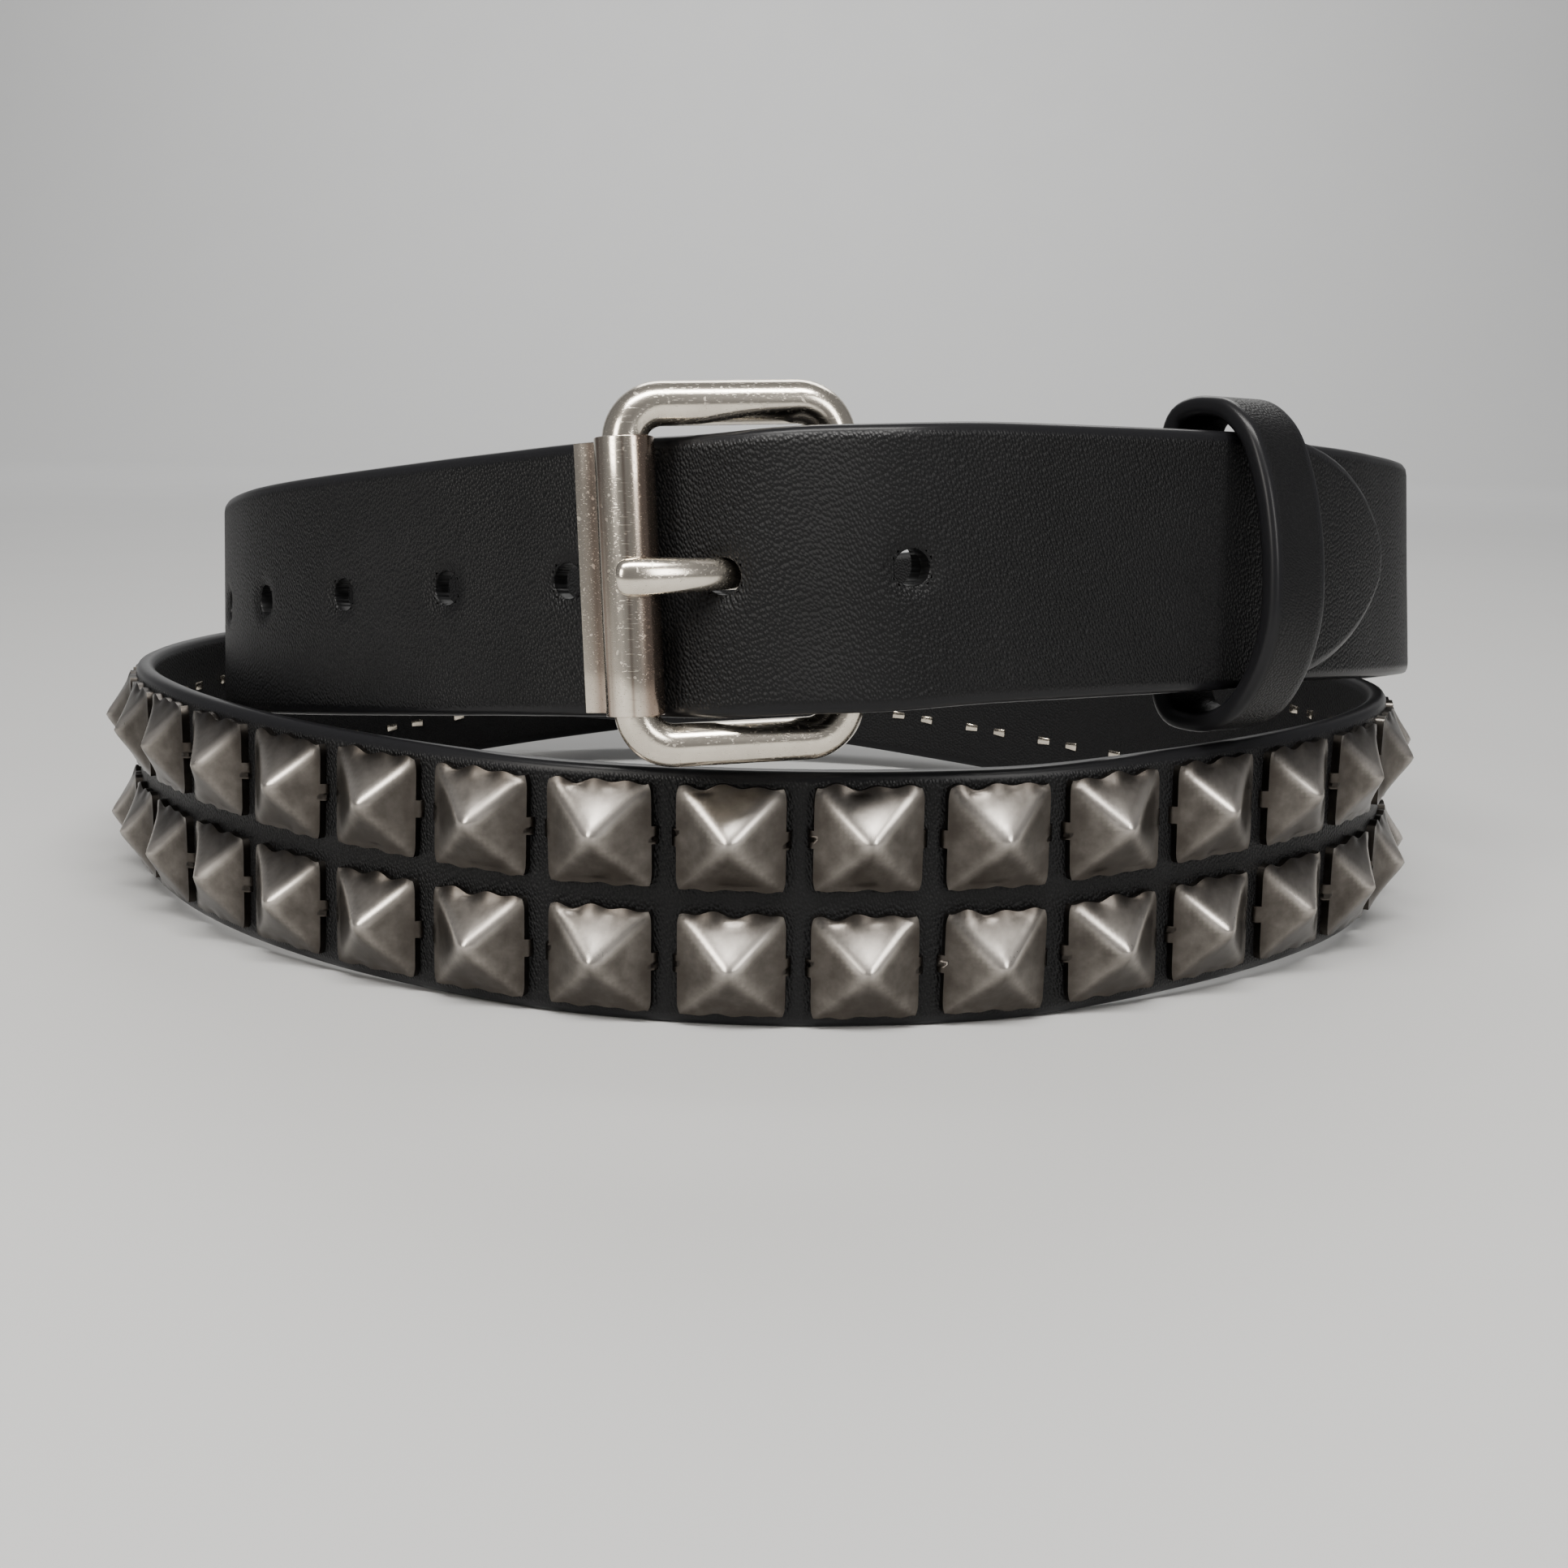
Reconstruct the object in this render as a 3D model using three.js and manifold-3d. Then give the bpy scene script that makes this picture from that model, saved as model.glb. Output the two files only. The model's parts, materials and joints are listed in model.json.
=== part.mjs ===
// A studded leather belt, buckled and coiled into two turns that stand on their edges.
// Millimetres, +Z up, the front of the coil towards -Y. The path angle "turn" is in degrees, 0 at the
// front, and grows clockwise as seen from above: 90 is the left side, 180 the back, 360 the front again.
import * as THREE from "three";
import { mergeVertices } from "three/addons/utils/BufferGeometryUtils.js";
import Module from "manifold-3d";

// Strap
const STRAP_WIDTH = 38;
const STRAP_THICKNESS = 3.4;
const STRAP_EDGE_CHAMFER = 0.9;
const LAYER_GAP = 0.3;
const LAYER_STEP = STRAP_THICKNESS + LAYER_GAP;
const STATION_STEP = 5;
const TANGENT_STEP = 0.2;
const TIP_TURN = -55.5;
const TIP_LENGTH = 40;
const TIP_SHARPNESS = 0.65;
const TIP_BLUNT = 0.1;
const TIP_STATIONS = 10;
const TIP_CHAMFER_SHARE = 0.4;
const FULL_WIDTH_TURN = -35;
const FOLD_STATIONS = 8;
const FULL_TURNS = 720;

// The coil's path along the middle of the strap. Below 0 is the pointed end that lies over the buckle
// end. Height is that of the middle of the strap's width, and lean tips its upper edge inwards.
const COIL = [
  { turn: -60, radius: 116.8, height: 63.8, lean: 2 },
  { turn: -45, radius: 116.7, height: 66, lean: 3 },
  { turn: -30, radius: 117.4, height: 67.1, lean: 3.5 },
  { turn: -20, radius: 120, height: 67.6, lean: 4 },
  { turn: -12, radius: 124, height: 67.9, lean: 4.5 },
  { turn: -5, radius: 127.8, height: 67.5, lean: 5 },
  { turn: 0, radius: 127.4, height: 67, lean: 5 },
  { turn: 5, radius: 124.6, height: 65.8, lean: 5 },
  { turn: 10, radius: 120.9, height: 65, lean: 5 },
  { turn: 15, radius: 117.6, height: 64, lean: 5 },
  { turn: 22, radius: 112.8, height: 62.4, lean: 4.8 },
  { turn: 30, radius: 109.7, height: 60.6, lean: 4.5 },
  { turn: 60, radius: 108.5, height: 53.8, lean: 3 },
  { turn: 90, radius: 107.5, height: 45.8, lean: 1.2 },
  { turn: 120, radius: 99, height: 37.8, lean: 0 },
  { turn: 150, radius: 89, height: 31.2, lean: -1 },
  { turn: 180, radius: 84, height: 26.5, lean: -1.5 },
  { turn: 210, radius: 85.5, height: 22, lean: -1 },
  { turn: 240, radius: 95, height: 19.2, lean: 0 },
  { turn: 270, radius: 107, height: 19.6, lean: 0 },
  { turn: 300, radius: 116, height: 21.2, lean: 0 },
  { turn: 330, radius: 115.4, height: 20, lean: 0 },
  { turn: 345, radius: 116, height: 19, lean: 0 },
  { turn: 360, radius: 116.3, height: 19, lean: 0 },
  { turn: 375, radius: 116.2, height: 19, lean: 0 },
  { turn: 390, radius: 116.2, height: 19.5, lean: 1 },
  { turn: 420, radius: 121.5, height: 21, lean: 0.5 },
  { turn: 450, radius: 127.5, height: 19.6, lean: 0 },
  { turn: 480, radius: 125, height: 19, lean: 0 },
  { turn: 510, radius: 116, height: 22.5, lean: -3 },
  { turn: 540, radius: 107, height: 29.5, lean: -4 },
  { turn: 570, radius: 107.5, height: 37, lean: -4 },
  { turn: 600, radius: 113.5, height: 46, lean: -3.5 },
  { turn: 630, radius: 113.6, height: 55, lean: 3.5 },
  { turn: 645, radius: 116.2, height: 60.4, lean: 5 },
  { turn: 660, radius: 112.4, height: 63.2, lean: 4 },
  { turn: 675, radius: 109.9, height: 65.2, lean: 3 },
  { turn: 690, radius: 110.6, height: 66.4, lean: 3.2 },
  { turn: 700, radius: 114, height: 67.3, lean: 3.8 },
  { turn: 708, radius: 119.6, height: 67.8, lean: 4.5 },
  { turn: 715, radius: 124.1, height: 67.5, lean: 5 },
  { turn: 720, radius: 123.7, height: 67, lean: 5 },
];
const COIL_CENTRE_X = -9.09;
const COIL_CENTRE_Y = -8.56;

// Holes for the prong, counted along the strap from the one the prong sits in; below 0 is tipwards
const HOLE_DIAMETER = 5;
const HOLE_SIDES = 12;
const HOLE_OVERSHOOT = 0.1;
const HOLE_PITCH = 25;
const PRONG_HOLE_TURN = 4.2;
const HOLES_BEFORE = 1;
const HOLES_AFTER = 5;

// Pyramid studs, in columns of two
const STUD_BASE = 15.7;
const STUD_SKIRT = 1;
const STUD_HEIGHT = 6.4;
const STUD_SINK = 0.6;
const STUD_TOP = 0.4;
const STUD_PITCH = 18.92;
const STUD_ROW_SPACING = 18.7;
const STUD_COLUMN_TURN = 364;
const STUDS_FIRST_TURN = 200;
const STUDS_LAST_TURN = 612;

// Buckle: a round wire frame with a rolled sheet roller on its outer bar
const WIRE_DIAMETER = 6;
const WIRE_SIDES = 12;
const FRAME_HEIGHT = 51.7;
const FRAME_CORNER = 5.2;
const CORNER_STEPS = 5;
const PIVOT_TURN = -2.8;
const ROLLER_TURN = 9;
const RUNNING_GAP = 0.3;
const ROLLER_DIAMETER = 8;
const ROLLER_SHEET = 0.6;
const ROLLER_LENGTH = 37;
const ROLLER_LIP = 10.4;
const ROLLER_START = -90;
const ROLLER_SWEEP = 320;
const ROLLER_STEPS = 28;
const ROLLER_REST_GAP = 0.6;

// Prong: rows run from the arm's root in the eye, on the inner bar, to its rounded end on the roller.
// Ahead is the distance from the outer bar towards the inner one, and out is the distance from the
// frame's plane.
const PRONG_WIRE = 3.1;
const PRONG_CLEARANCE = 0.35;
const PRONG_SIDES = 10;
const EYE_STATIONS = 18;
const PRONG_SLOT = 6.4;
const PRONG_SLOT_LENGTH = 12;
const PRONG_SLOT_SIDES = 24;
const PRONG_SLOT_OVERSHOOT = 0.15;
const PRONG = [
  { ahead: 23.4, out: -2.1, wide: 3.1, deep: 3.1 },
  { ahead: 20, out: -1.8, wide: 3.1, deep: 3.1 },
  { ahead: 17, out: -0.7, wide: 3.1, deep: 3.1 },
  { ahead: 14.5, out: 0.9, wide: 3.1, deep: 3.1 },
  { ahead: 12, out: 2.6, wide: 3.2, deep: 3.1 },
  { ahead: 9.5, out: 4, wide: 3.4, deep: 3.1 },
  { ahead: 6.5, out: 5, wide: 3.9, deep: 3.2 },
  { ahead: 3, out: 5.7, wide: 4.7, deep: 3.2 },
  { ahead: 0.5, out: 5.9, wide: 4.9, deep: 3.2 },
  { ahead: -1.2, out: 5.85, wide: 4.6, deep: 3 },
  { ahead: -2, out: 5.7, wide: 3.6, deep: 2.3 },
  { ahead: -2.4, out: 5.55, wide: 2, deep: 1.2 },
];

// The fold's free tail behind the strap, and the keeper's middle line in the strap's section: out from
// the middle of the outer layer and up from the middle of its width
const TAIL_END_TURN = -28;
const TAIL_SETTLE_TURN = -18;
const TAIL_STEP = 2;
const KEEPER_TURN = -34.9;
const KEEPER_WIDTH = 11.8;
const KEEPER_THICKNESS = 3;
const KEEPER_STATIONS = 44;
const KEEPER = [
  { out: -10.6, up: 0 },
  { out: -10.6, up: 14 },
  { out: -10.4, up: 18.6 },
  { out: -9, up: 21.6 },
  { out: -5.9, up: 22.8 },
  { out: -3, up: 22.8 },
  { out: 0.2, up: 22.1 },
  { out: 4.2, up: 18.8 },
  { out: 7, up: 13 },
  { out: 8.8, up: 6.2 },
  { out: 9.8, up: -2 },
  { out: 9.6, up: -9 },
  { out: 7.2, up: -16.4 },
  { out: 3.4, up: -21.6 },
  { out: -0.6, up: -23.7 },
  { out: -4.6, up: -24.1 },
  { out: -8.6, up: -23.3 },
  { out: -10.4, up: -20.6 },
  { out: -10.6, up: -15 },
];

const LEATHER = { color: 0x111112, roughness: 0.5, metalness: 0 };
const NICKEL = { color: 0xc9bfae, roughness: 0.22, metalness: 1 };

const UP = new THREE.Vector3(0, 0, 1);
const MERGE_DISTANCE = 1e-4;
const wasm = await Module();
wasm.setup();

// Smooth curve through one column of the rows, with no overshoot where level is true
function column(key, turn, level = false) {
  let i = 0;
  while (i < COIL.length - 2 && COIL[i + 1].turn <= turn) i += 1;
  const slope = (j) => (COIL[j + 1][key] - COIL[j][key]) / (COIL[j + 1].turn - COIL[j].turn);
  const tangent = (j) => {
    if (j === 0) return slope(0);
    if (j === COIL.length - 1) return slope(j - 1);
    const before = COIL[j].turn - COIL[j - 1].turn;
    const after = COIL[j + 1].turn - COIL[j].turn;
    if (level && slope(j - 1) * slope(j) <= 0) return 0;
    return (slope(j - 1) * after + slope(j) * before) / (before + after);
  };
  const span = COIL[i + 1].turn - COIL[i].turn;
  const u = (turn - COIL[i].turn) / span;
  return (
    COIL[i][key] * (1 + 2 * u) * (1 - u) ** 2 +
    COIL[i + 1][key] * (3 - 2 * u) * u ** 2 +
    tangent(i) * span * u * (1 - u) ** 2 -
    tangent(i + 1) * span * u ** 2 * (1 - u)
  );
}

function coilCentre(turn) {
  const angle = THREE.MathUtils.degToRad(turn);
  const radius = column("radius", turn);
  return new THREE.Vector3(
    -radius * Math.sin(angle) - COIL_CENTRE_X,
    -radius * Math.cos(angle) - COIL_CENTRE_Y,
    column("height", turn, true),
  );
}

// A station of the strap: its middle, and the directions along it, out of its face and up its width
function station(turn) {
  const along = coilCentre(turn + TANGENT_STEP).sub(coilCentre(turn - TANGENT_STEP)).normalize();
  const level = new THREE.Vector3().crossVectors(UP, along).normalize();
  const rise = new THREE.Vector3().crossVectors(along, level);
  const lean = THREE.MathUtils.degToRad(column("lean", turn));
  const out = level.clone().multiplyScalar(Math.cos(lean)).addScaledVector(rise, Math.sin(lean));
  const up = rise.multiplyScalar(Math.cos(lean)).addScaledVector(level, -Math.sin(lean));
  return { middle: coilCentre(turn), along, out, up };
}

const place = (s, along, out, up) =>
  s.middle.clone().addScaledVector(s.along, along).addScaledVector(s.out, out).addScaledVector(s.up, up);

// Signed volume of an indexed geometry, below 0 when its faces point inwards
function signedVolume(positions, index) {
  const corner = (i) => new THREE.Vector3().fromArray(positions, index[i] * 3);
  let volume = 0;
  for (let i = 0; i < index.length; i += 3) {
    volume += corner(i).dot(corner(i + 1).cross(corner(i + 2))) / 6;
  }
  return volume;
}

// Closed solid through equal rings of points, capped at both ends unless it closes on itself
function loft(rings, closed = false) {
  const count = rings[0].length;
  const positions = rings.flat().flatMap((p) => p.toArray());
  const index = [];
  const last = closed ? rings.length : rings.length - 1;
  for (let i = 0; i < last; i += 1) {
    for (let j = 0; j < count; j += 1) {
      const a = i * count + j;
      const b = i * count + ((j + 1) % count);
      const c = ((i + 1) % rings.length) * count + j;
      const d = ((i + 1) % rings.length) * count + ((j + 1) % count);
      index.push(a, b, d, a, d, c);
    }
  }
  const end = (rings.length - 1) * count;
  for (let j = 1; j < count - 1 && !closed; j += 1) {
    index.push(0, j + 1, j, end, end + j, end + j + 1);
  }
  if (signedVolume(positions, index) < 0) index.reverse();
  const geometry = new THREE.BufferGeometry();
  geometry.setAttribute("position", new THREE.Float32BufferAttribute(positions, 3));
  geometry.setIndex(index);
  return geometry;
}

function solidOf(geometry) {
  const bare = geometry.clone();
  bare.deleteAttribute("normal");
  bare.deleteAttribute("uv");
  const merged = mergeVertices(bare, MERGE_DISTANCE);
  const mesh = new wasm.Mesh({
    numProp: 3,
    vertProperties: merged.attributes.position.array,
    triVerts: new Uint32Array(merged.index.array),
  });
  return new wasm.Manifold(mesh);
}

function geometryOf(solid) {
  const mesh = solid.getMesh();
  const geometry = new THREE.BufferGeometry();
  geometry.setAttribute("position", new THREE.BufferAttribute(mesh.vertProperties, 3));
  geometry.setIndex(new THREE.BufferAttribute(mesh.triVerts, 1));
  return geometry;
}

// Oval of points round a centre, in the plane of two directions
function oval(centre, first, second, firstRadius, secondRadius, sides) {
  return Array.from({ length: sides }, (_, i) => {
    const angle = (2 * Math.PI * i) / sides;
    const p = centre.clone().addScaledVector(first, firstRadius * Math.cos(angle));
    return p.addScaledVector(second, secondRadius * Math.sin(angle));
  });
}

const circle = (centre, first, second, radius, sides) =>
  oval(centre, first, second, radius, radius, sides);

// Straight solid between two equal ends, whose flat outline need not be convex
function prismSolid(outline, start, end) {
  const flat = outline.map(([x, y]) => new THREE.Vector2(x, y));
  const faces = THREE.ShapeUtils.triangulateShape(flat, []);
  const count = outline.length;
  const index = faces.flatMap(([a, b, c]) => [a, c, b, count + a, count + b, count + c]);
  for (let i = 0; i < count; i += 1) {
    const next = (i + 1) % count;
    index.push(i, next, count + next, i, count + next, count + i);
  }
  const positions = [...start, ...end].flatMap((p) => p.toArray());
  if (signedVolume(positions, index) < 0) index.reverse();
  const geometry = new THREE.BufferGeometry();
  geometry.setAttribute("position", new THREE.Float32BufferAttribute(positions, 3));
  geometry.setIndex(index);
  return solidOf(geometry);
}

// Strap
const half = STRAP_THICKNESS / 2;

function strapSection(s, halfWidth) {
  const c = Math.min(STRAP_EDGE_CHAMFER, halfWidth * TIP_CHAMFER_SHARE);
  const corners = [
    [half, -halfWidth + c],
    [half, halfWidth - c],
    [half - c, halfWidth],
    [-half + c, halfWidth],
    [-half, halfWidth - c],
    [-half, -halfWidth + c],
    [-half + c, -halfWidth],
    [half - c, -halfWidth],
  ];
  return corners.map(([out, up]) => place(s, 0, out, up));
}

// Length of strap between the pointed end and each turn, read from a fine walk along the path
const WALK_STEP = 0.5;
const walk = [{ turn: TIP_TURN, length: 0 }];
for (let turn = TIP_TURN + WALK_STEP; turn <= FULL_TURNS + PIVOT_TURN; turn += WALK_STEP) {
  const step = coilCentre(turn).distanceTo(coilCentre(turn - WALK_STEP));
  walk.push({ turn, length: walk.at(-1).length + step });
}

function lengthAt(turn) {
  const i = Math.min(Math.floor((turn - TIP_TURN) / WALK_STEP), walk.length - 2);
  const u = (turn - walk[i].turn) / WALK_STEP;
  return walk[i].length + u * (walk[i + 1].length - walk[i].length);
}

function turnAt(length) {
  const i = walk.findIndex((point) => point.length >= length);
  const u = (length - walk[i - 1].length) / (walk[i].length - walk[i - 1].length);
  return walk[i - 1].turn + u * WALK_STEP;
}

// Half width of the pointed end, as an ogive
function halfWidthAt(length) {
  if (length >= TIP_LENGTH) return STRAP_WIDTH / 2;
  return (STRAP_WIDTH / 2) * (1 - (1 - length / TIP_LENGTH) ** 2) ** TIP_SHARPNESS;
}

const pivot = station(PIVOT_TURN);
const barBehind = half + LAYER_GAP + STRAP_THICKNESS + RUNNING_GAP + WIRE_DIAMETER / 2;
const barCentre = place(pivot, 0, -barBehind, 0);
const foldRadius = WIRE_DIAMETER / 2 + RUNNING_GAP + half;

// Stations of the fold round the inner bar, from the strap's outer side to its inner side
function foldStations(steps) {
  return Array.from({ length: steps + 1 }, (_, i) => {
    const angle = (Math.PI * i) / steps;
    const c = Math.cos(angle);
    const s = Math.sin(angle);
    const out = pivot.out.clone().multiplyScalar(c).addScaledVector(pivot.along, s);
    const along = pivot.along.clone().multiplyScalar(c).addScaledVector(pivot.out, -s);
    return { middle: barCentre.clone().addScaledVector(out, foldRadius), along, out, up: pivot.up };
  });
}

// Stations of the tail that runs back behind the under layer
function tailStations() {
  const stations = [];
  for (let turn = PIVOT_TURN - TAIL_STEP; turn >= TAIL_END_TURN; turn -= TAIL_STEP) {
    const s = station(turn + FULL_TURNS);
    const settled = THREE.MathUtils.smoothstep(PIVOT_TURN - turn, 0, PIVOT_TURN - TAIL_SETTLE_TURN);
    const behind = THREE.MathUtils.lerp(2 * foldRadius, LAYER_STEP, settled);
    stations.push({
      middle: place(s, 0, -behind, 0),
      along: s.along.clone().negate(),
      out: s.out.clone().negate(),
      up: s.up,
    });
  }
  return stations;
}

function strapSolid() {
  const rings = [];
  for (let i = 0; i < TIP_STATIONS; i += 1) {
    const length = TIP_BLUNT + (TIP_LENGTH - TIP_BLUNT) * (i / TIP_STATIONS) ** 2;
    rings.push(strapSection(station(turnAt(length)), halfWidthAt(length)));
  }
  for (let turn = FULL_WIDTH_TURN; turn < FULL_TURNS + PIVOT_TURN; turn += STATION_STEP) {
    rings.push(strapSection(station(turn), STRAP_WIDTH / 2));
  }
  for (const s of [...foldStations(FOLD_STATIONS), ...tailStations()]) {
    rings.push(strapSection(s, STRAP_WIDTH / 2));
  }
  return solidOf(loft(rings));
}

// One pyramid stud on the strap's outer face
function studSolid(turn, up) {
  const s = station(turn);
  const square = (side, out) =>
    [[1, 1], [-1, 1], [-1, -1], [1, -1]].map(([x, y]) =>
      place(s, (x * side) / 2, half + out, up + (y * side) / 2),
    );
  const rings = [
    square(STUD_BASE, -STUD_SINK),
    square(STUD_BASE, STUD_SKIRT),
    square(STUD_TOP, STUD_HEIGHT),
  ];
  return solidOf(loft(rings));
}

function studTurns() {
  const anchor = lengthAt(STUD_COLUMN_TURN);
  const before = Math.floor((anchor - lengthAt(STUDS_FIRST_TURN)) / STUD_PITCH);
  const after = Math.floor((lengthAt(STUDS_LAST_TURN) - anchor) / STUD_PITCH);
  return Array.from({ length: before + after + 1 }, (_, i) =>
    turnAt(anchor + (i - before) * STUD_PITCH),
  );
}

function holeSolid(turn) {
  const s = station(turn);
  const reach = half + HOLE_OVERSHOOT;
  const ends = [-reach, reach].map((out) =>
    circle(place(s, 0, out, 0), s.along, s.up, HOLE_DIAMETER / 2, HOLE_SIDES),
  );
  return solidOf(loft(ends));
}

// Buckle frame, in a plane through the roller bar and the pivot bar
const rollerStation = station(ROLLER_TURN);
const rollerAhead = half + ROLLER_REST_GAP + ROLLER_DIAMETER / 2;
const rollerBar = place(rollerStation, 0, rollerAhead, 0);
const frameRight = barCentre.clone().sub(rollerBar);
const frameWidth = frameRight.length();
frameRight.normalize();
const frameUp = pivot.up.clone().add(rollerStation.up);
frameUp.addScaledVector(frameRight, -frameUp.dot(frameRight)).normalize();
const frameOut = new THREE.Vector3().crossVectors(frameRight, frameUp);

const inFrame = (right, out, up) =>
  rollerBar
    .clone()
    .addScaledVector(frameRight, right)
    .addScaledVector(frameOut, out)
    .addScaledVector(frameUp, up);

function frameSolid(clearance) {
  const bar = FRAME_HEIGHT / 2 - WIRE_DIAMETER / 2;
  const inset = FRAME_CORNER;
  const corners = [
    { ahead: inset, up: bar - inset, from: 180 },
    { ahead: frameWidth - inset, up: bar - inset, from: 90 },
    { ahead: frameWidth - inset, up: -bar + inset, from: 0 },
    { ahead: inset, up: -bar + inset, from: -90 },
  ];
  const rings = corners.flatMap((corner) =>
    Array.from({ length: CORNER_STEPS + 1 }, (_, i) => {
      const angle = THREE.MathUtils.degToRad(corner.from - (90 * i) / CORNER_STEPS);
      const x = Math.cos(angle);
      const y = Math.sin(angle);
      const centre = inFrame(corner.ahead + inset * x, 0, corner.up + inset * y);
      const outward = frameRight.clone().multiplyScalar(x).addScaledVector(frameUp, y);
      return circle(centre, outward, frameOut, WIRE_DIAMETER / 2 + clearance, WIRE_SIDES);
    }),
  );
  return solidOf(loft(rings, true));
}

// Roller: sheet rolled into a tube, with its free edge left flat as a lip against the strap
function rollerSolid() {
  const arc = (radius) =>
    Array.from({ length: ROLLER_STEPS + 1 }, (_, i) => {
      const angle = THREE.MathUtils.degToRad(ROLLER_START + (ROLLER_SWEEP * i) / ROLLER_STEPS);
      return [radius * Math.cos(angle), radius * Math.sin(angle)];
    });
  const outer = ROLLER_DIAMETER / 2;
  const inner = outer - ROLLER_SHEET;
  const profile = [...arc(outer), ...arc(inner).reverse(), [-ROLLER_LIP, -inner], [-ROLLER_LIP, -outer]];
  const level = rollerStation.along.clone().negate();
  level.addScaledVector(frameUp, -level.dot(frameUp)).normalize();
  const out = new THREE.Vector3().crossVectors(level, frameUp);
  const end = (up) =>
    profile.map(([x, y]) =>
      rollerBar.clone().addScaledVector(level, x).addScaledVector(out, y).addScaledVector(frameUp, up),
    );
  return prismSolid(profile, end(-ROLLER_LENGTH / 2), end(ROLLER_LENGTH / 2));
}

// Prong: an eye round the inner bar and an arm that rises through the hole onto the roller
function prongSolid(clearance) {
  const eyeRadius = WIRE_DIAMETER / 2 + RUNNING_GAP + PRONG_WIRE / 2;
  const eye = new THREE.TorusGeometry(eyeRadius, PRONG_WIRE / 2 + clearance, PRONG_SIDES, EYE_STATIONS);
  eye.applyMatrix4(new THREE.Matrix4().makeBasis(frameOut, frameRight, frameUp).setPosition(barCentre));
  const arm = PRONG.map((row, i) => {
    const before = PRONG[Math.max(i - 1, 0)];
    const after = PRONG[Math.min(i + 1, PRONG.length - 1)];
    const run = new THREE.Vector2(after.ahead - before.ahead, after.out - before.out).normalize();
    const normal = frameRight.clone().multiplyScalar(-run.y).addScaledVector(frameOut, run.x);
    const centre = inFrame(row.ahead, row.out, 0);
    return oval(centre, normal, frameUp, row.deep / 2 + clearance, row.wide / 2 + clearance, PRONG_SIDES);
  });
  return solidOf(eye).add(solidOf(loft(arm)));
}

// Room for the prong's eye in the fold
function prongSlot() {
  const w = PRONG_SLOT / 2;
  const reach = foldRadius + half + PRONG_SLOT_OVERSHOOT;
  const drum = [-w, w].map((up) =>
    circle(place(pivot, 0, -barBehind, up), pivot.along, pivot.out, reach, PRONG_SLOT_SIDES),
  );
  const box = [-w, w].map((up) =>
    [[0, reach], [-PRONG_SLOT_LENGTH, reach], [-PRONG_SLOT_LENGTH, -reach], [0, -reach]].map(
      ([along, out]) => place(pivot, along, out - barBehind, up),
    ),
  );
  return solidOf(loft(drum)).add(solidOf(loft(box)));
}

// Keeper: a leather band bent into a loose loop round both layers
function keeperSolid() {
  const s = station(KEEPER_TURN);
  const line = new THREE.CatmullRomCurve3(
    KEEPER.map((row) => new THREE.Vector3(row.out, row.up, 0)),
    true,
    "centripetal",
  );
  const w = KEEPER_WIDTH / 2;
  const rings = Array.from({ length: KEEPER_STATIONS }, (_, i) => {
    const p = line.getPointAt(i / KEEPER_STATIONS);
    const run = line.getTangentAt(i / KEEPER_STATIONS);
    const side = (along, grow) => {
      const shift = (grow * KEEPER_THICKNESS) / 2;
      return place(s, along, p.x - run.y * shift, p.y + run.x * shift);
    };
    return [side(w, 1), side(-w, 1), side(-w, -1), side(w, -1)];
  });
  return solidOf(loft(rings, true));
}

function strapWithStuds() {
  let solid = strapSolid();
  for (const turn of studTurns()) {
    for (const side of [-1, 1]) {
      solid = solid.add(studSolid(turn, (side * STUD_ROW_SPACING) / 2));
    }
  }
  const prongHole = lengthAt(PRONG_HOLE_TURN);
  for (let i = -HOLES_BEFORE; i <= HOLES_AFTER; i += 1) {
    solid = solid.subtract(holeSolid(turnAt(prongHole + i * HOLE_PITCH)));
  }
  return solid.subtract(prongSlot()).subtract(prongSolid(PRONG_CLEARANCE)).subtract(frameSolid(RUNNING_GAP));
}

function piece(name, solid, finish) {
  const mesh = new THREE.Mesh(geometryOf(solid), new THREE.MeshStandardMaterial(finish));
  mesh.name = name;
  return mesh;
}

const group = new THREE.Group();
group.add(piece("strap", strapWithStuds(), LEATHER));
group.add(piece("buckle_frame", frameSolid(0), NICKEL));
group.add(piece("buckle_roller", rollerSolid(), NICKEL));
group.add(piece("buckle_prong", prongSolid(0), NICKEL));
group.add(piece("keeper_loop", keeperSolid(), LEATHER));

export default group;
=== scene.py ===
"""A studded leather belt, buckled and coiled into two turns that stand on their edges."""

import json
import math
from contextlib import contextmanager

import bmesh
import bpy
import numpy as np
from mathutils import Matrix, Vector


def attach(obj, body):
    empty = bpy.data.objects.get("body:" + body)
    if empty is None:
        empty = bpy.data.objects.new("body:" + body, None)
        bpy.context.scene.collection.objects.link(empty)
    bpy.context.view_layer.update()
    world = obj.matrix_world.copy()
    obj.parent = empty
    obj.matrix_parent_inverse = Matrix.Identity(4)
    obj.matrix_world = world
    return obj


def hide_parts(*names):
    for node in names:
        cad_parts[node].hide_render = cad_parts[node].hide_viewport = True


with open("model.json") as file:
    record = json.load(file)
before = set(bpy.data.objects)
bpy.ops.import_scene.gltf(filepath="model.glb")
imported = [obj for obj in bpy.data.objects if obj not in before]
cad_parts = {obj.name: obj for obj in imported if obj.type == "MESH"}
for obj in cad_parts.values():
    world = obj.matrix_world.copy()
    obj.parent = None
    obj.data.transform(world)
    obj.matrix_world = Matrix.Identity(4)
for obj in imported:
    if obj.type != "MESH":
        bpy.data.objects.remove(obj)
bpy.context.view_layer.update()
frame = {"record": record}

bl_info = {
    "name": "Studded Belt",
    "version": (1, 0, 0),
    "blender": (4, 5, 0),
    "location": "View3D > Sidebar > Belt",
    "description": "Builds a coiled leather belt with pyramid studs and a roller buckle",
    "category": "Add Mesh",
}

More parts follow.
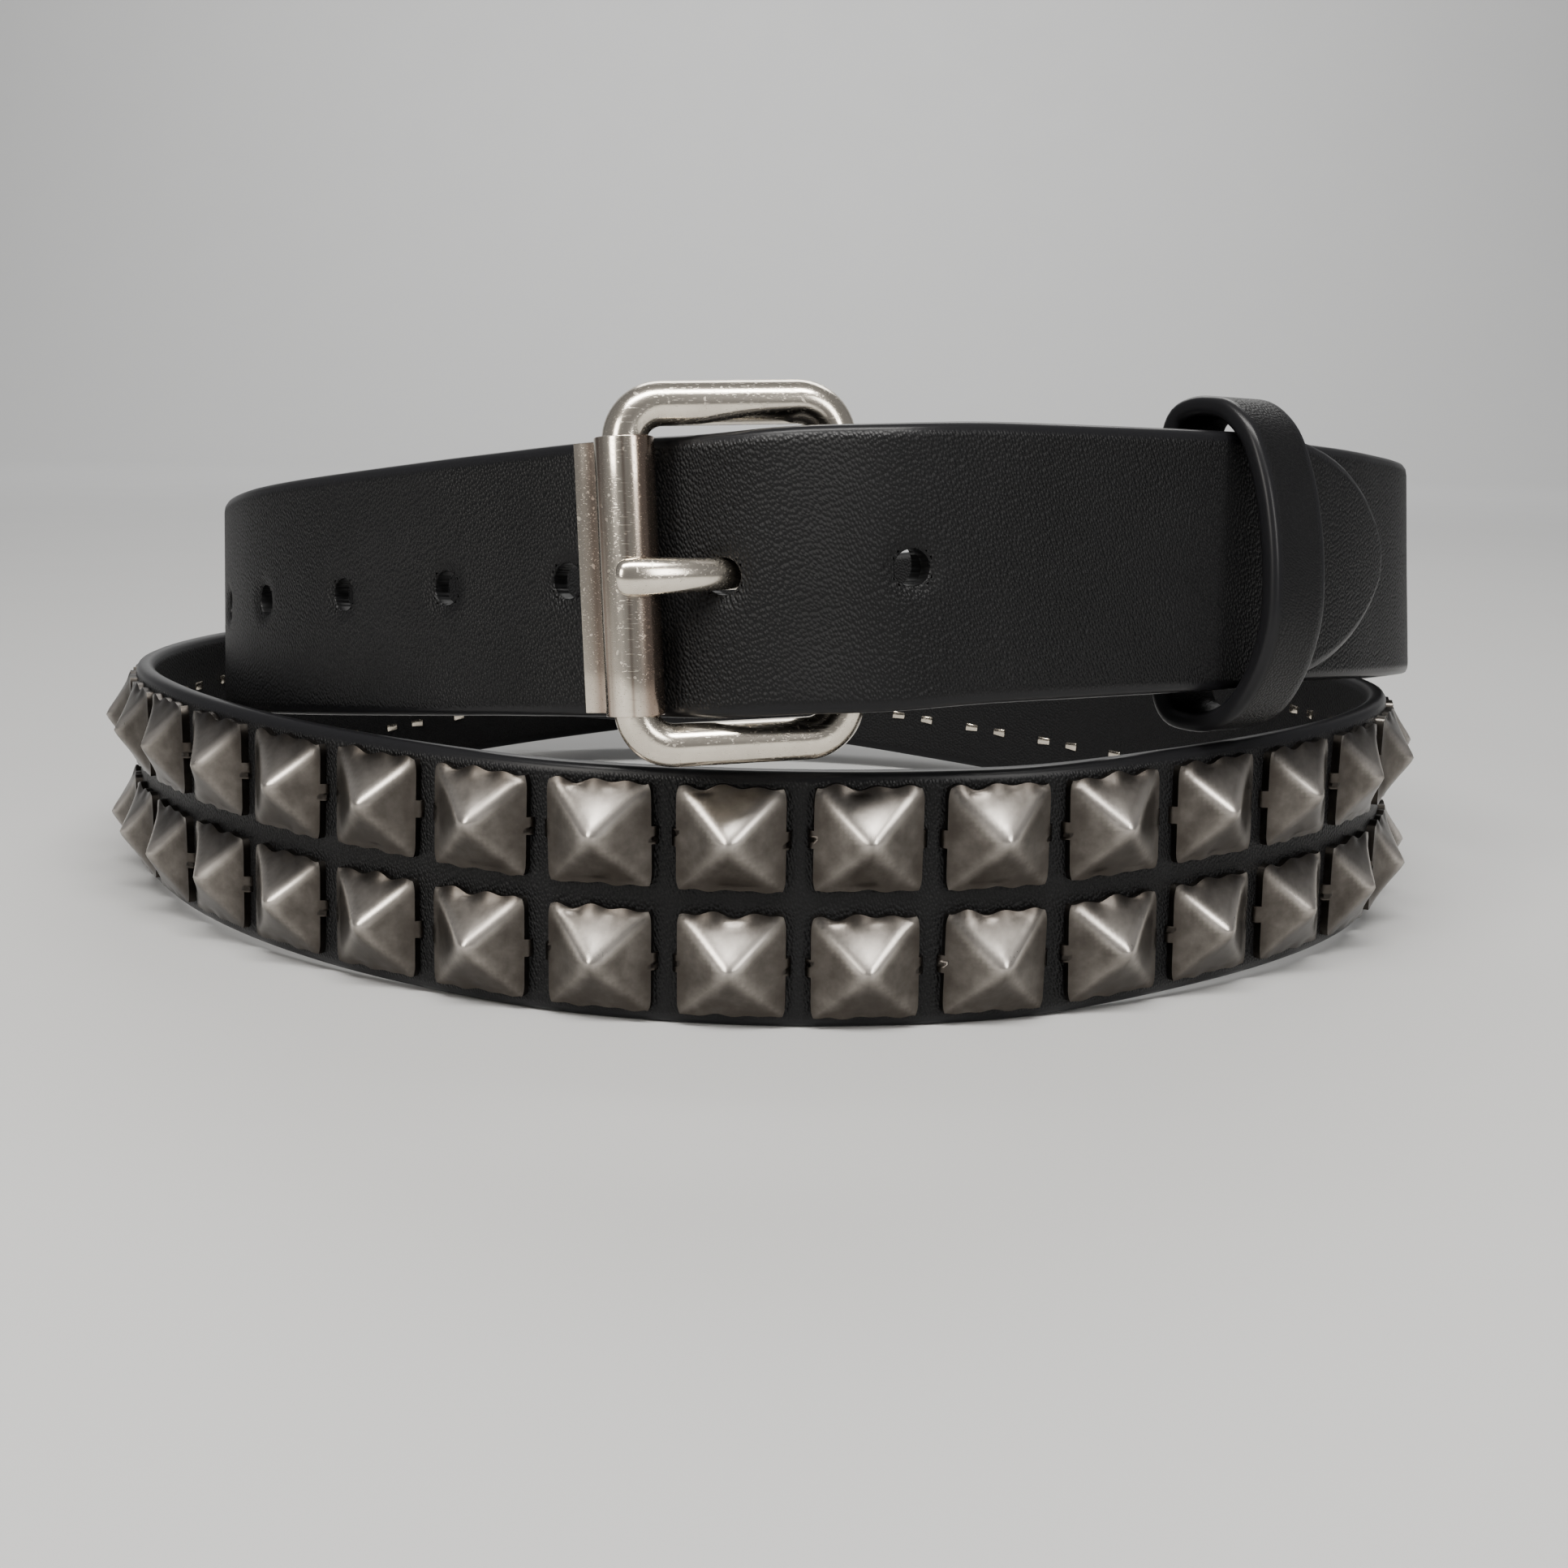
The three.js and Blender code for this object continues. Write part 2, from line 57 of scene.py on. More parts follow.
BASE_COLOUR = {m["slot"]: m["base_color"] for m in frame["record"]["materials"]}
MM = 0.001

# The coil's path along the middle of the strap, in degrees and millimetres. The turn is 0 at the
# front and grows clockwise from above, and lean tips the upper edge inwards.
TURN, RADIUS, HEIGHT, LEAN = range(4)
COIL = np.array([
    (-60, 116.8, 63.8, 2), (-45, 116.7, 66, 3), (-30, 117.4, 67.1, 3.5), (-20, 120, 67.6, 4),
    (-12, 124, 67.9, 4.5), (-5, 127.8, 67.5, 5), (0, 127.4, 67, 5), (5, 124.6, 65.8, 5),
    (10, 120.9, 65, 5), (15, 117.6, 64, 5), (22, 112.8, 62.4, 4.8), (30, 109.7, 60.6, 4.5),
    (60, 108.5, 53.8, 3), (90, 107.5, 45.8, 1.2), (120, 99, 37.8, 0), (150, 89, 31.2, -1),
    (180, 84, 26.5, -1.5), (210, 85.5, 22, -1), (240, 95, 19.2, 0), (270, 107, 19.6, 0),
    (300, 116, 21.2, 0), (330, 115.4, 20, 0), (345, 116, 19, 0), (360, 116.3, 19, 0),
    (375, 116.2, 19, 0), (390, 116.2, 19.5, 1), (420, 121.5, 21, 0.5), (450, 127.5, 19.6, 0),
    (480, 125, 19, 0), (510, 116, 22.5, -3), (540, 107, 29.5, -4), (570, 107.5, 37, -4),
    (600, 113.5, 46, -3.5), (630, 113.6, 55, 3.5), (645, 116.2, 60.4, 5), (660, 112.4, 63.2, 4),
    (675, 109.9, 65.2, 3), (690, 110.6, 66.4, 3.2), (700, 114, 67.3, 3.8), (708, 119.6, 67.8, 4.5),
    (715, 124.1, 67.5, 5), (720, 123.7, 67, 5),
], float)
COIL_CENTRE = np.array((-9.09, -8.56, 0))
TANGENT_STEP = 0.2
WALK_STEP = 0.5

# Places along the strap
TIP_TURN = -55.5
FULL_TURNS = 720
PIVOT_TURN = -2.8
ROLLER_TURN = 9
KEEPER_TURN = -34.9
PRONG_HOLE_TURN = 4.2
STUD_COLUMN_TURN = 364
STUDS_FIRST_TURN = 200
STUDS_LAST_TURN = 612
TAIL_END_TURN = -28
TAIL_SETTLE_TURN = -18
FOLD_STEPS = 24

# The pointed end
TIP_LENGTH = 40 * MM
TIP_SHARPNESS = 0.65
TIP_BLUNT = 0.1 * MM

# How much narrower the strap is where it folds round the bar
FOLD_TRIM = 1.1 * MM
FOLD_TRIM_REACH = 22 * MM
FOLD_TRIM_EASE = 8 * MM

# The leather's grain: one pebble's width, its depth in millimetres, its slant and its stretch
GRAIN_MM = 0.42
GRAIN_DEPTH_MM = 0.18
GRAIN_SLANT = -0.4
GRAIN_STRETCH = 1.6
GRAIN_SMOOTHNESS = 0.25
GRAIN_RANDOMNESS = 0.75
KEEPER_GRAIN_SIZE = 0.9
KEEPER_GRAIN_DEPTH = 0.5

# Where the painted edge ends, in millimetres, and how much lighter than the skin two places are
EDGE_PAINT_MM = (0.9, 2.0)
WORN_SKIN = 1.7
LINING = 1.8

# Sizes of the patches in the finishes, in millimetres
LEATHER_PATCH_MM, LEATHER_MOTTLE_MM = 9, 34
STUD_BLOTCH_MM, STUD_SPECK_MM = 4.5, 0.5
NICKEL_HAZE_MM, NICKEL_PIT_MM = 6, 0.7
FLOOR_CLOUD_MM = 90

WELD = 1e-6

# Gaps between the layers and round the buckle's wire
LAYER_GAP = 0.3 * MM
RUNNING_GAP = 0.3 * MM
ROLLER_REST_GAP = 0.6 * MM

# The prong's rows, in millimetres: ahead of the outer bar, out of the frame's plane, wide, deep
PRONG_ROWS = [
    (23.4, -2.1, 3.1, 3.1), (20, -1.8, 3.3, 3.1), (17, -0.7, 4.1, 3.1), (14.5, 0.9, 4.4, 3.1),
    (12, 2.6, 4.4, 3.1), (9.5, 4, 4.5, 3.1), (6.5, 5, 4.7, 3.2), (3, 5.7, 5.1, 3.3),
    (0.5, 5.95, 5.3, 3.4), (-1.3, 5.95, 5.1, 3.3), (-2.2, 5.8, 4.2, 2.7), (-2.6, 5.65, 2.6, 1.6),
]

# The keeper's middle line in the strap's section, in millimetres: out of its face, up its width
KEEPER_LINE = np.array([
    (-10.6, 0), (-10.6, 14), (-10.4, 18.6), (-9, 21.6), (-5.9, 22.8), (-3, 22.8), (0.2, 22.1),
    (4.2, 18.8), (7, 13), (8.8, 6.2), (9.8, -2), (9.6, -9), (7.2, -16.4), (3.4, -21.6),
    (-0.6, -23.7), (-4.6, -24.1), (-8.6, -23.3), (-10.4, -20.6), (-10.6, -15),
], float)

# The photograph's camera
CAMERA_PLACE = Vector((8.09, -361.44, 88)) * MM
CAMERA_FOCAL_PX = 2245
PHOTO_PX = 1932
SENSOR_MM = 36
CAMERA_PITCH = 0.2025
CAMERA_ROLL = 0.016


def length_prop(name, description, default):
    """A length in metres that is shown in the scene's units."""
    return bpy.props.FloatProperty(
        name=name, description=description, default=default, min=0, precision=5,
        subtype="DISTANCE", unit="LENGTH",
    )


def colour_prop(name, description, default):
    """A colour in linear values."""
    return bpy.props.FloatVectorProperty(
        name=name, description=description, default=default, min=0, max=1, size=3, subtype="COLOR",
    )


class BeltSizes(bpy.types.PropertyGroup):
    """Sizes of the belt's pieces"""

    strap_width: length_prop("Strap width", "Width of the leather strap", 38 * MM)
    strap_thickness: length_prop("Strap thickness", "Thickness of the leather strap", 3.4 * MM)
    edge_rounding: length_prop("Edge rounding", "How far the rounded edge reaches in", 1.6 * MM)
    hole_diameter: length_prop("Hole", "Diameter of a hole for the prong", 5 * MM)
    hole_pitch: length_prop("Hole spacing", "Distance between two holes", 25 * MM)
    stud_base: length_prop("Stud base", "Side of a stud's square base", 15.7 * MM)
    stud_height: length_prop("Stud height", "Height of a stud above the leather", 6.4 * MM)
    stud_pitch: length_prop("Stud spacing", "Distance between two columns of studs", 18.92 * MM)
    stud_rows: length_prop("Row spacing", "Distance between the two rows of studs", 18.7 * MM)
    wire: length_prop("Buckle wire", "Diameter of the buckle's wire", 6 * MM)
    buckle_height: length_prop("Buckle height", "Height of the buckle over all", 51.7 * MM)
    buckle_corner: length_prop("Buckle corner", "Bend radius of the wire's middle line", 5.2 * MM)
    roller: length_prop("Roller", "Outer diameter of the roller's tube", 8 * MM)
    roller_sheet: length_prop("Roller sheet", "Thickness of the roller's sheet", 0.6 * MM)
    roller_length: length_prop("Roller length", "Length of the roller", 37 * MM)
    roller_lip: length_prop("Roller lip", "How far the flat lip reaches", 10.4 * MM)
    prong_wire: length_prop("Prong wire", "Diameter of the prong's wire at its eye", 3.1 * MM)
    keeper_width: length_prop("Keeper width", "Width of the keeper's band", 11.8 * MM)
    keeper_thickness: length_prop("Keeper thickness", "Thickness of the keeper's band", 3 * MM)


class BeltColours(bpy.types.PropertyGroup):
    """Colours of the belt's finishes"""

    leather: colour_prop("Leather", "The strap and keeper", [c / 4 for c in BASE_COLOUR["leather"]])
    edge_paint: colour_prop("Edge paint", "Painted edges of the leather", (0.008, 0.008, 0.009))
    # The bright end also paints a highlight on the studs' upper side, the dark end painted shade at
    # the hem and below
    stud_dark: colour_prop("Stud, dark", "Antique metal in the hollows", (0.05, 0.043, 0.037))
    stud_bright: colour_prop("Stud, bright", "Worn metal on the ridges", (0.70, 0.65, 0.59))
    nickel: colour_prop("Nickel", "The buckle's plating", (0.80, 0.73, 0.62))
    # Brown of the roller's painted reflection bands
    tarnish: colour_prop("Tarnish", "Brown bands on the roller", (0.2, 0.125, 0.09))
    floor: colour_prop("Floor", "The plain floor and backdrop", (0.46, 0.46, 0.455))


def column(which, turn, level=False):
    """Smooth curve through one column of the coil's rows, with no overshoot where level is true."""
    turns, values = COIL[:, TURN], COIL[:, which]
    last = len(turns) - 1
    i = int(np.clip(np.searchsorted(turns, turn, side="right") - 1, 0, last - 1))

    def slope(j):
        return (values[j + 1] - values[j]) / (turns[j + 1] - turns[j])

    def tangent(j):
        if j in (0, last):
            return slope(min(j, last - 1))
        if level and slope(j - 1) * slope(j) <= 0:
            return 0.0
        before, after = turns[j] - turns[j - 1], turns[j + 1] - turns[j]
        return (slope(j - 1) * after + slope(j) * before) / (before + after)

    span = turns[i + 1] - turns[i]
    u = (turn - turns[i]) / span
    ends = values[i] * (1 + 2 * u) * (1 - u) ** 2 + values[i + 1] * (3 - 2 * u) * u**2
    return ends + tangent(i) * span * u * (1 - u) ** 2 - tangent(i + 1) * span * u**2 * (1 - u)


def coil_centre(turn):
    angle, radius = math.radians(turn), column(RADIUS, turn)
    height = column(HEIGHT, turn, True)
    place = np.array((-radius * math.sin(angle), -radius * math.cos(angle), height))
    return (place - COIL_CENTRE) * MM


def unit(vector):
    return vector / np.linalg.norm(vector)


class Station:
    """A place on the strap: its middle, and the directions along it, out of its face and up it."""

    def __init__(self, middle, along, out, up):
        self.middle, self.along, self.out, self.up = middle, along, out, up

    def place(self, along=0.0, out=0.0, up=0.0):
        return self.middle + self.along * along + self.out * out + self.up * up

    def rows(self):
        return np.array((self.middle, self.along, self.out, self.up))


def station(turn):
    along = unit(coil_centre(turn + TANGENT_STEP) - coil_centre(turn - TANGENT_STEP))
    level = unit(np.cross((0, 0, 1), along))
    rise = np.cross(along, level)
    lean = math.radians(column(LEAN, turn))
    out = level * math.cos(lean) + rise * math.sin(lean)
    up = rise * math.cos(lean) - level * math.sin(lean)
    return Station(coil_centre(turn), along, out, up)


class StrapLine:
    """The strap's line from its pointed end, round the coil and the buckle's bar, to its tail."""

    def __init__(self, sizes):
        half, wire = sizes.strap_thickness / 2, sizes.wire / 2
        self.bar_behind = half + LAYER_GAP + sizes.strap_thickness + RUNNING_GAP + wire
        self.fold_radius = wire + RUNNING_GAP + half
        self.layer_step = sizes.strap_thickness + LAYER_GAP
        coil_end = FULL_TURNS + PIVOT_TURN
        self.turns = np.arange(TIP_TURN, coil_end, WALK_STEP)
        stations = [station(turn) for turn in self.turns]
        self.coil_stations = len(stations)
        stations += self.fold() + self.tail()
        self.rows = np.array([s.rows() for s in stations]).reshape(len(stations), -1)
        steps = np.linalg.norm(np.diff(self.rows[:, :3], axis=0), axis=1)
        self.lengths = np.concatenate([[0], np.cumsum(steps)])
        self.total = float(self.lengths[-1])
        self.fold_start = self.length_at(self.turns[-1])

    def fold(self):
        pivot = station(PIVOT_TURN)
        bar = pivot.place(out=-self.bar_behind)
        stations = []
        for i in range(FOLD_STEPS + 1):
            angle = math.pi * i / FOLD_STEPS
            out = pivot.out * math.cos(angle) + pivot.along * math.sin(angle)
            along = pivot.along * math.cos(angle) - pivot.out * math.sin(angle)
            stations.append(Station(bar + out * self.fold_radius, along, out, pivot.up))
        return stations

    def tail(self):
        stations = []
        for turn in np.arange(PIVOT_TURN - 1, TAIL_END_TURN - WALK_STEP, -1):
            under = station(turn + FULL_TURNS)
            u = min((PIVOT_TURN - turn) / (PIVOT_TURN - TAIL_SETTLE_TURN), 1)
            settled = u * u * (3 - 2 * u)
            behind = 2 * self.fold_radius * (1 - settled) + self.layer_step * settled
            stations.append(Station(under.place(out=-behind), -under.along, -under.out, under.up))
        return stations

    def length_at(self, turn):
        return float(np.interp(turn, self.turns, self.lengths[: self.coil_stations]))

    def at(self, lengths):
        """Middle, along, out and up at each length, as an array of four rows for each."""
        parts = [np.interp(lengths, self.lengths, values) for values in self.rows.T]
        return np.stack(parts, -1).reshape(-1, 4, 3)

    def stud_lengths(self, sizes):
        anchor = self.length_at(STUD_COLUMN_TURN)
        before = int((anchor - self.length_at(STUDS_FIRST_TURN)) / sizes.stud_pitch)
        after = int((self.length_at(STUDS_LAST_TURN) - anchor) / sizes.stud_pitch)
        return [anchor + i * sizes.stud_pitch for i in range(-before, after + 1)]


def half_width_at(x, sizes, line):
    """Half the flat strap's width, which narrows at the pointed end and a little at the fold."""
    point = np.clip(1 - x / TIP_LENGTH, 0, 1)
    width = sizes.strap_width / 2 * np.maximum(1 - point**2, 0) ** TIP_SHARPNESS
    away = np.abs(x - line.fold_start - math.pi * line.fold_radius / 2)
    near_fold = np.clip((FOLD_TRIM_REACH - away) / FOLD_TRIM_EASE, 0, 1)
    return width - FOLD_TRIM * near_fold


def set_active(piece):
    bpy.context.view_layer.objects.active = piece


def deselect():
    if bpy.context.object and bpy.context.object.mode != "OBJECT":
        bpy.ops.object.mode_set(mode="OBJECT")
    bpy.ops.object.select_all(action="DESELECT")


def added(name):
    """Names the primitive that has just been added."""
    piece = bpy.context.object
    piece.name = piece.data.name = name
    return piece


def add_grid(name, columns, rows, size):
    bpy.ops.mesh.primitive_grid_add(x_subdivisions=columns, y_subdivisions=rows, size=size)
    return added(name)


def copy_of(model):
    copy = model.copy()
    copy.data = model.data.copy()
    bpy.context.collection.objects.link(copy)
    return copy


def scaled(name, scale):
    """Names the primitive that has just been added, and makes its place and scale real."""
    piece = added(name)
    piece.scale = scale
    bpy.ops.object.transform_apply()
    return piece


@contextmanager
def editing(piece):
    """Edit mode on a piece."""
    set_active(piece)
    bpy.ops.object.mode_set(mode="EDIT")
    yield
    bpy.ops.object.mode_set(mode="OBJECT")


def points(piece):
    flat = np.empty(len(piece.data.vertices) * 3, np.float32)
    piece.data.vertices.foreach_get("co", flat)
    return flat.reshape(-1, 3).astype(float)


def set_points(piece, places):
    piece.data.vertices.foreach_set("co", np.asarray(places, np.float32).ravel())
    piece.data.update()


def store(piece, name, values):
    """Keeps a number or a vector for each vertex, which a material reads by its name."""
    values = np.asarray(values, np.float32)
    vector = values.ndim == 2
    kept = piece.data.attributes.new(name, "FLOAT_VECTOR" if vector else "FLOAT", "POINT")
    kept.data.foreach_set("vector" if vector else "value", values.ravel())


def stored(piece, name):
    data = piece.data.attributes[name].data
    values = np.empty(len(data), np.float32)
    data.foreach_get("value", values)
    return values


def modify(piece, kind, **settings):
    """Adds a modifier with these settings and applies it."""
    set_active(piece)
    modifier = piece.modifiers.new(kind.title(), kind)
    for key, value in settings.items():
        setattr(modifier, key, value)
    bpy.ops.object.modifier_apply(modifier=modifier.name)


def select_where(piece, kind, test):
    """In edit mode, selects the faces, edges or vertices whose test is true, and nothing else."""
    modes = {"faces": "FACE", "edges": "EDGE", "verts": "VERT"}
    bpy.ops.mesh.select_mode(type=modes[kind])
    bpy.ops.mesh.select_all(action="DESELECT")
    shape = bmesh.from_edit_mesh(piece.data)
    for item in getattr(shape, kind):
        item.select_set(test(item))
    bmesh.update_edit_mesh(piece.data)


def middle_of(item):
    return sum((v.co for v in item.verts), Vector()) / len(item.verts)


def tidy_normals(piece):
    with editing(piece):
        bpy.ops.mesh.select_all(action="SELECT")
        bpy.ops.mesh.remove_doubles(threshold=WELD)
        bpy.ops.mesh.normals_make_consistent(inside=False)


def smooth(piece, degrees):
    deselect()
    piece.select_set(True)
    set_active(piece)
    bpy.ops.object.shade_smooth_by_angle(angle=math.radians(degrees))


def axes_matrix(x, y, z, origin):
    return Matrix([[*row] for row in np.column_stack((x, y, z, origin))] + [[0, 0, 0, 1]])


def cut(piece, cutter):
    """Cuts a closed piece out of another, and removes the cutter."""
    modify(piece, "BOOLEAN", operation="DIFFERENCE", solver="EXACT", object=cutter)
    bpy.data.objects.remove(cutter)


def joined(pieces, name):
    """Makes one piece of several."""
    deselect()
    for piece in pieces:
        piece.select_set(True)
    set_active(pieces[0])
    bpy.ops.object.join()
    pieces[0].name = pieces[0].data.name = name
    return pieces[0]


def sweep(name, rings, closed=False):
    """Extrudes one ring of points through all the rings, then joins its ends or caps them."""
    deselect()
    bpy.ops.mesh.primitive_circle_add(vertices=len(rings[0]), radius=MM)
    piece = added(name)
    for layer in ("corner", "ring"):
        piece.data.attributes.new(layer, "FLOAT", "POINT")
    corners = np.arange(len(rings[0]), dtype=np.float32)
    piece.data.attributes["corner"].data.foreach_set("value", corners)
    with editing(piece):
        bpy.ops.mesh.select_mode(type="VERT")
        bpy.ops.mesh.select_all(action="SELECT")
        for i, ring in enumerate(rings):
            if i:
                bpy.ops.mesh.extrude_edges_move()
            shape = bmesh.from_edit_mesh(piece.data)
            corner, number = (shape.verts.layers.float[key] for key in ("corner", "ring"))
            for vertex in shape.verts:
                if vertex.select:
                    vertex.co = ring[round(vertex[corner])]
                    vertex[number] = i
            bmesh.update_edit_mesh(piece.data)
        bpy.ops.mesh.select_all(action="DESELECT")
        bpy.ops.mesh.select_non_manifold()
        if closed:
            bpy.ops.mesh.bridge_edge_loops()
        else:
            bpy.ops.mesh.fill_holes(sides=0)
    tidy_normals(piece)
    return piece


class Wire:
    """One value in a material. Arithmetic on wires adds Math nodes."""

    def __init__(self, finish, socket):
        self.finish, self.socket = finish, socket

    def math(self, operation, *values):
        return self.finish.node("ShaderNodeMath", {"operation": operation}, dict(enumerate(values)))

    def __add__(self, other):
        return self.math("ADD", self, other)

    def __sub__(self, other):
        return self.math("SUBTRACT", self, other)

    def __rsub__(self, other):
        return self.math("SUBTRACT", other, self)

    def __mul__(self, other):
        return self.math("MULTIPLY", self, other)

    __radd__ = __add__
    __rmul__ = __mul__

    def ramp(self, low, high, to_low=0.0, to_high=1.0):
        """Smooth step between two limits."""
        settings = {"interpolation_type": "SMOOTHSTEP"}
        inputs = {0: self, 1: low, 2: high, 3: to_low, 4: to_high}
        return self.finish.node("ShaderNodeMapRange", settings, inputs)


class Finish:
    """A material, with one method that adds any node."""

    def __init__(self, name):
        self.material = bpy.data.materials.new(name)
        self.material.use_nodes = True
        self.tree = self.material.node_tree
        self.shader = self.tree.nodes["Principled BSDF"]

    def node(self, kind, settings=None, inputs=None, output=0):
        made = self.tree.nodes.new(kind)
        for key, value in (settings or {}).items():
            setattr(made, key, value)
        for key, value in (inputs or {}).items():
            self.join(value, made.inputs[key])
        return Wire(self, made.outputs[output])

    def join(self, value, socket):
        if isinstance(value, Wire):
            self.tree.links.new(value.socket, socket)
        else:
            socket.default_value = value

    def shade(self, **inputs):
        for key, value in inputs.items():
            self.join(value, self.shader.inputs[key.replace("_", " ")])

    def attribute(self, name, output="Fac"):
        return self.node("ShaderNodeAttribute", {"attribute_name": name}, output=output)

    def object_mm(self):
        """Object coordinates in millimetres."""
        place = self.node("ShaderNodeTexCoord", output="Object")
        return self.mapped(place, scale=(1 / MM, 1 / MM, 1 / MM))

    def mapped(self, vector, scale=(1, 1, 1), rotation=(0, 0, 0), location=(0, 0, 0)):
        inputs = {"Vector": vector, "Scale": scale, "Rotation": rotation, "Location": location}
        return self.node("ShaderNodeMapping", None, inputs)

    def noise(self, vector, size, detail=2.0, roughness=0.5):
        inputs = {"Vector": vector, "Scale": 1 / size, "Detail": detail, "Roughness": roughness}
        return self.node("ShaderNodeTexNoise", None, inputs)

    def mix(self, factor, first, second):
        inputs = {0: factor, 6: self.colour(first), 7: self.colour(second)}
        return self.node("ShaderNodeMix", {"data_type": "RGBA"}, inputs, output=2)

    def colour(self, value):
        return value if isinstance(value, Wire) else (*value, 1.0)

    def bump(self, height, depth_mm, strength=1.0, normal=None):
        inputs = {"Height": height, "Distance": depth_mm * MM, "Strength": strength}
        if normal:
            inputs["Normal"] = normal
        return self.node("ShaderNodeBump", None, inputs)


def leather_finish(name, colours, grain_mm, grain_depth_mm):
    """Black leather with a slanted pebble grain and smooth painted edges."""
    finish = Finish(name)
    flat = finish.attribute("flat", "Vector")
    edge = finish.attribute("edge").ramp(*EDGE_PAINT_MM)
    lining = finish.attribute("lining")
    slanted = finish.mapped(flat, rotation=(0, 0, GRAIN_SLANT))
    cells = finish.mapped(slanted, scale=(1 / grain_mm, 1 / (grain_mm * GRAIN_STRETCH), 1))
    settings = {"voronoi_dimensions": "2D", "feature": "SMOOTH_F1"}
    inputs = {"Vector": cells, "Scale": 1.0}
    inputs |= {"Smoothness": GRAIN_SMOOTHNESS, "Randomness": GRAIN_RANDOMNESS}
    pebble = finish.node("ShaderNodeTexVoronoi", settings, inputs)
    patches = finish.noise(flat, LEATHER_PATCH_MM, 3)
    mottle = finish.noise(flat, LEATHER_MOTTLE_MM, 4, 0.6)
    relief = (1 - pebble) * (patches * 0.5 + 0.7)
    grained = finish.bump(relief * edge, grain_depth_mm)
    waves = finish.bump(mottle, 0.5, 0.35, grained)
    pale = [c * WORN_SKIN for c in colours.leather]
    worn = finish.mix(mottle.ramp(0.35, 0.75), colours.leather, pale)
    skin = finish.mix(lining, worn, [c * LINING for c in colours.leather])
    finish.shade(
        Base_Color=finish.mix(edge, colours.edge_paint, skin),
        Roughness=0.3 + edge * (pebble * 0.2 + mottle * 0.1) + lining * 0.2,
        Normal=waves,
        Specular_IOR_Level=0.2,
    )
    return finish.material


def stud_finish(colours):
    """Antique nickel, brushed: worn ridges, a painted highlight above, painted shade at hem and
    below.
    """
    finish = Finish("antique_nickel")
    place = finish.object_mm()
    # The wear attribute holds real wear plus a painted highlight above and painted shade below
    wear = finish.attribute("wear")
    brushed = finish.noise(finish.mapped(place, scale=(3, 3, 0.5)), 1.0, 2)
    blotch = finish.noise(place, STUD_BLOTCH_MM, 4, 0.6)
    specks = finish.noise(place, STUD_SPECK_MM, 1)
    shine = (wear * 0.95 + blotch * 0.4 - 0.14).ramp(0.0, 1.15)
    finish.shade(
        Base_Color=finish.mix(shine, colours.stud_dark, colours.stud_bright),
        Metallic=1.0,
        Roughness=0.25 - wear * 0.03 + blotch * 0.08 + brushed * 0.06,
        Normal=finish.bump(brushed * 0.25 + specks * 0.05 + blotch * 0.9, 0.04, 0.4),
    )
    return finish.material


def nickel_finish(colours):
    """Polished warm nickel with fine scratches, a few pits, and brown bands of painted reflection.
    """
    finish = Finish("polished_nickel")
    place = finish.object_mm()
    turned = finish.mapped(place, rotation=(0.3, 0.9, 0.5), scale=(0.25, 6, 6))
    scratch = finish.noise(turned, 1.0, 1).ramp(0.62, 0.7)
    haze = finish.noise(place, NICKEL_HAZE_MM, 4, 0.65)
    pits = finish.noise(place, NICKEL_PIT_MM, 0).ramp(0.74, 0.8)
    plated = finish.mix(haze.ramp(0.3, 0.8), colours.nickel, [c * 0.82 for c in colours.nickel])
    # The roller's bands mix in a painted reflection
    finish.shade(
        Base_Color=finish.mix(finish.attribute("tarnish"), plated, colours.tarnish),
        Metallic=1.0,
        Roughness=0.13 + haze * 0.11 + scratch * 0.1 + pits * 0.15,
        Normal=finish.bump(1 - scratch * 0.35 - pits * 0.3 + haze * 0.3, 0.02, 0.4),
    )
    return finish.material


def floor_finish(colours):
    """Plain pale matt floor."""
    finish = Finish("pale_floor")
    cloud = finish.noise(finish.object_mm(), FLOOR_CLOUD_MM, 3)
    finish.shade(
        Base_Color=finish.mix(cloud * 0.25, colours.floor, [c * 0.9 for c in colours.floor]),
        Roughness=0.62 + cloud * 0.1,
    )
    return finish.material


def buckle_axes(sizes, line):
    """Outer and inner bar of the buckle, and the directions across, up and out of it."""
    roller, pivot = station(ROLLER_TURN), station(PIVOT_TURN)
    outer_bar = roller.place(out=sizes.strap_thickness / 2 + ROLLER_REST_GAP + sizes.roller / 2)
    inner_bar = pivot.place(out=-line.bar_behind)
    width = float(np.linalg.norm(inner_bar - outer_bar))
    across = unit(inner_bar - outer_bar)
    up = pivot.up + roller.up
    up = unit(up - across * up.dot(across))
    return outer_bar, width, across, up, np.cross(across, up)


class BeltOperator:
    """What every operator of this file shares."""

    bl_options = {"REGISTER", "UNDO"}
    smooth_angle = 50

    def execute(self, context):
        deselect()
        self.build(context.scene.belt_sizes, context.scene.belt_colours)
        deselect()
        return {"FINISHED"}

    def finish(self, piece, material, slot, *nodes):
        """Smooths a piece, gives it its material, and says its body and what it replaces; the slot
        is not used.
        """
        smooth(piece, self.smooth_angle)
        piece.data.materials.clear()
        piece.data.materials.append(material)
        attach(piece, "root")
        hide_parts(*nodes)


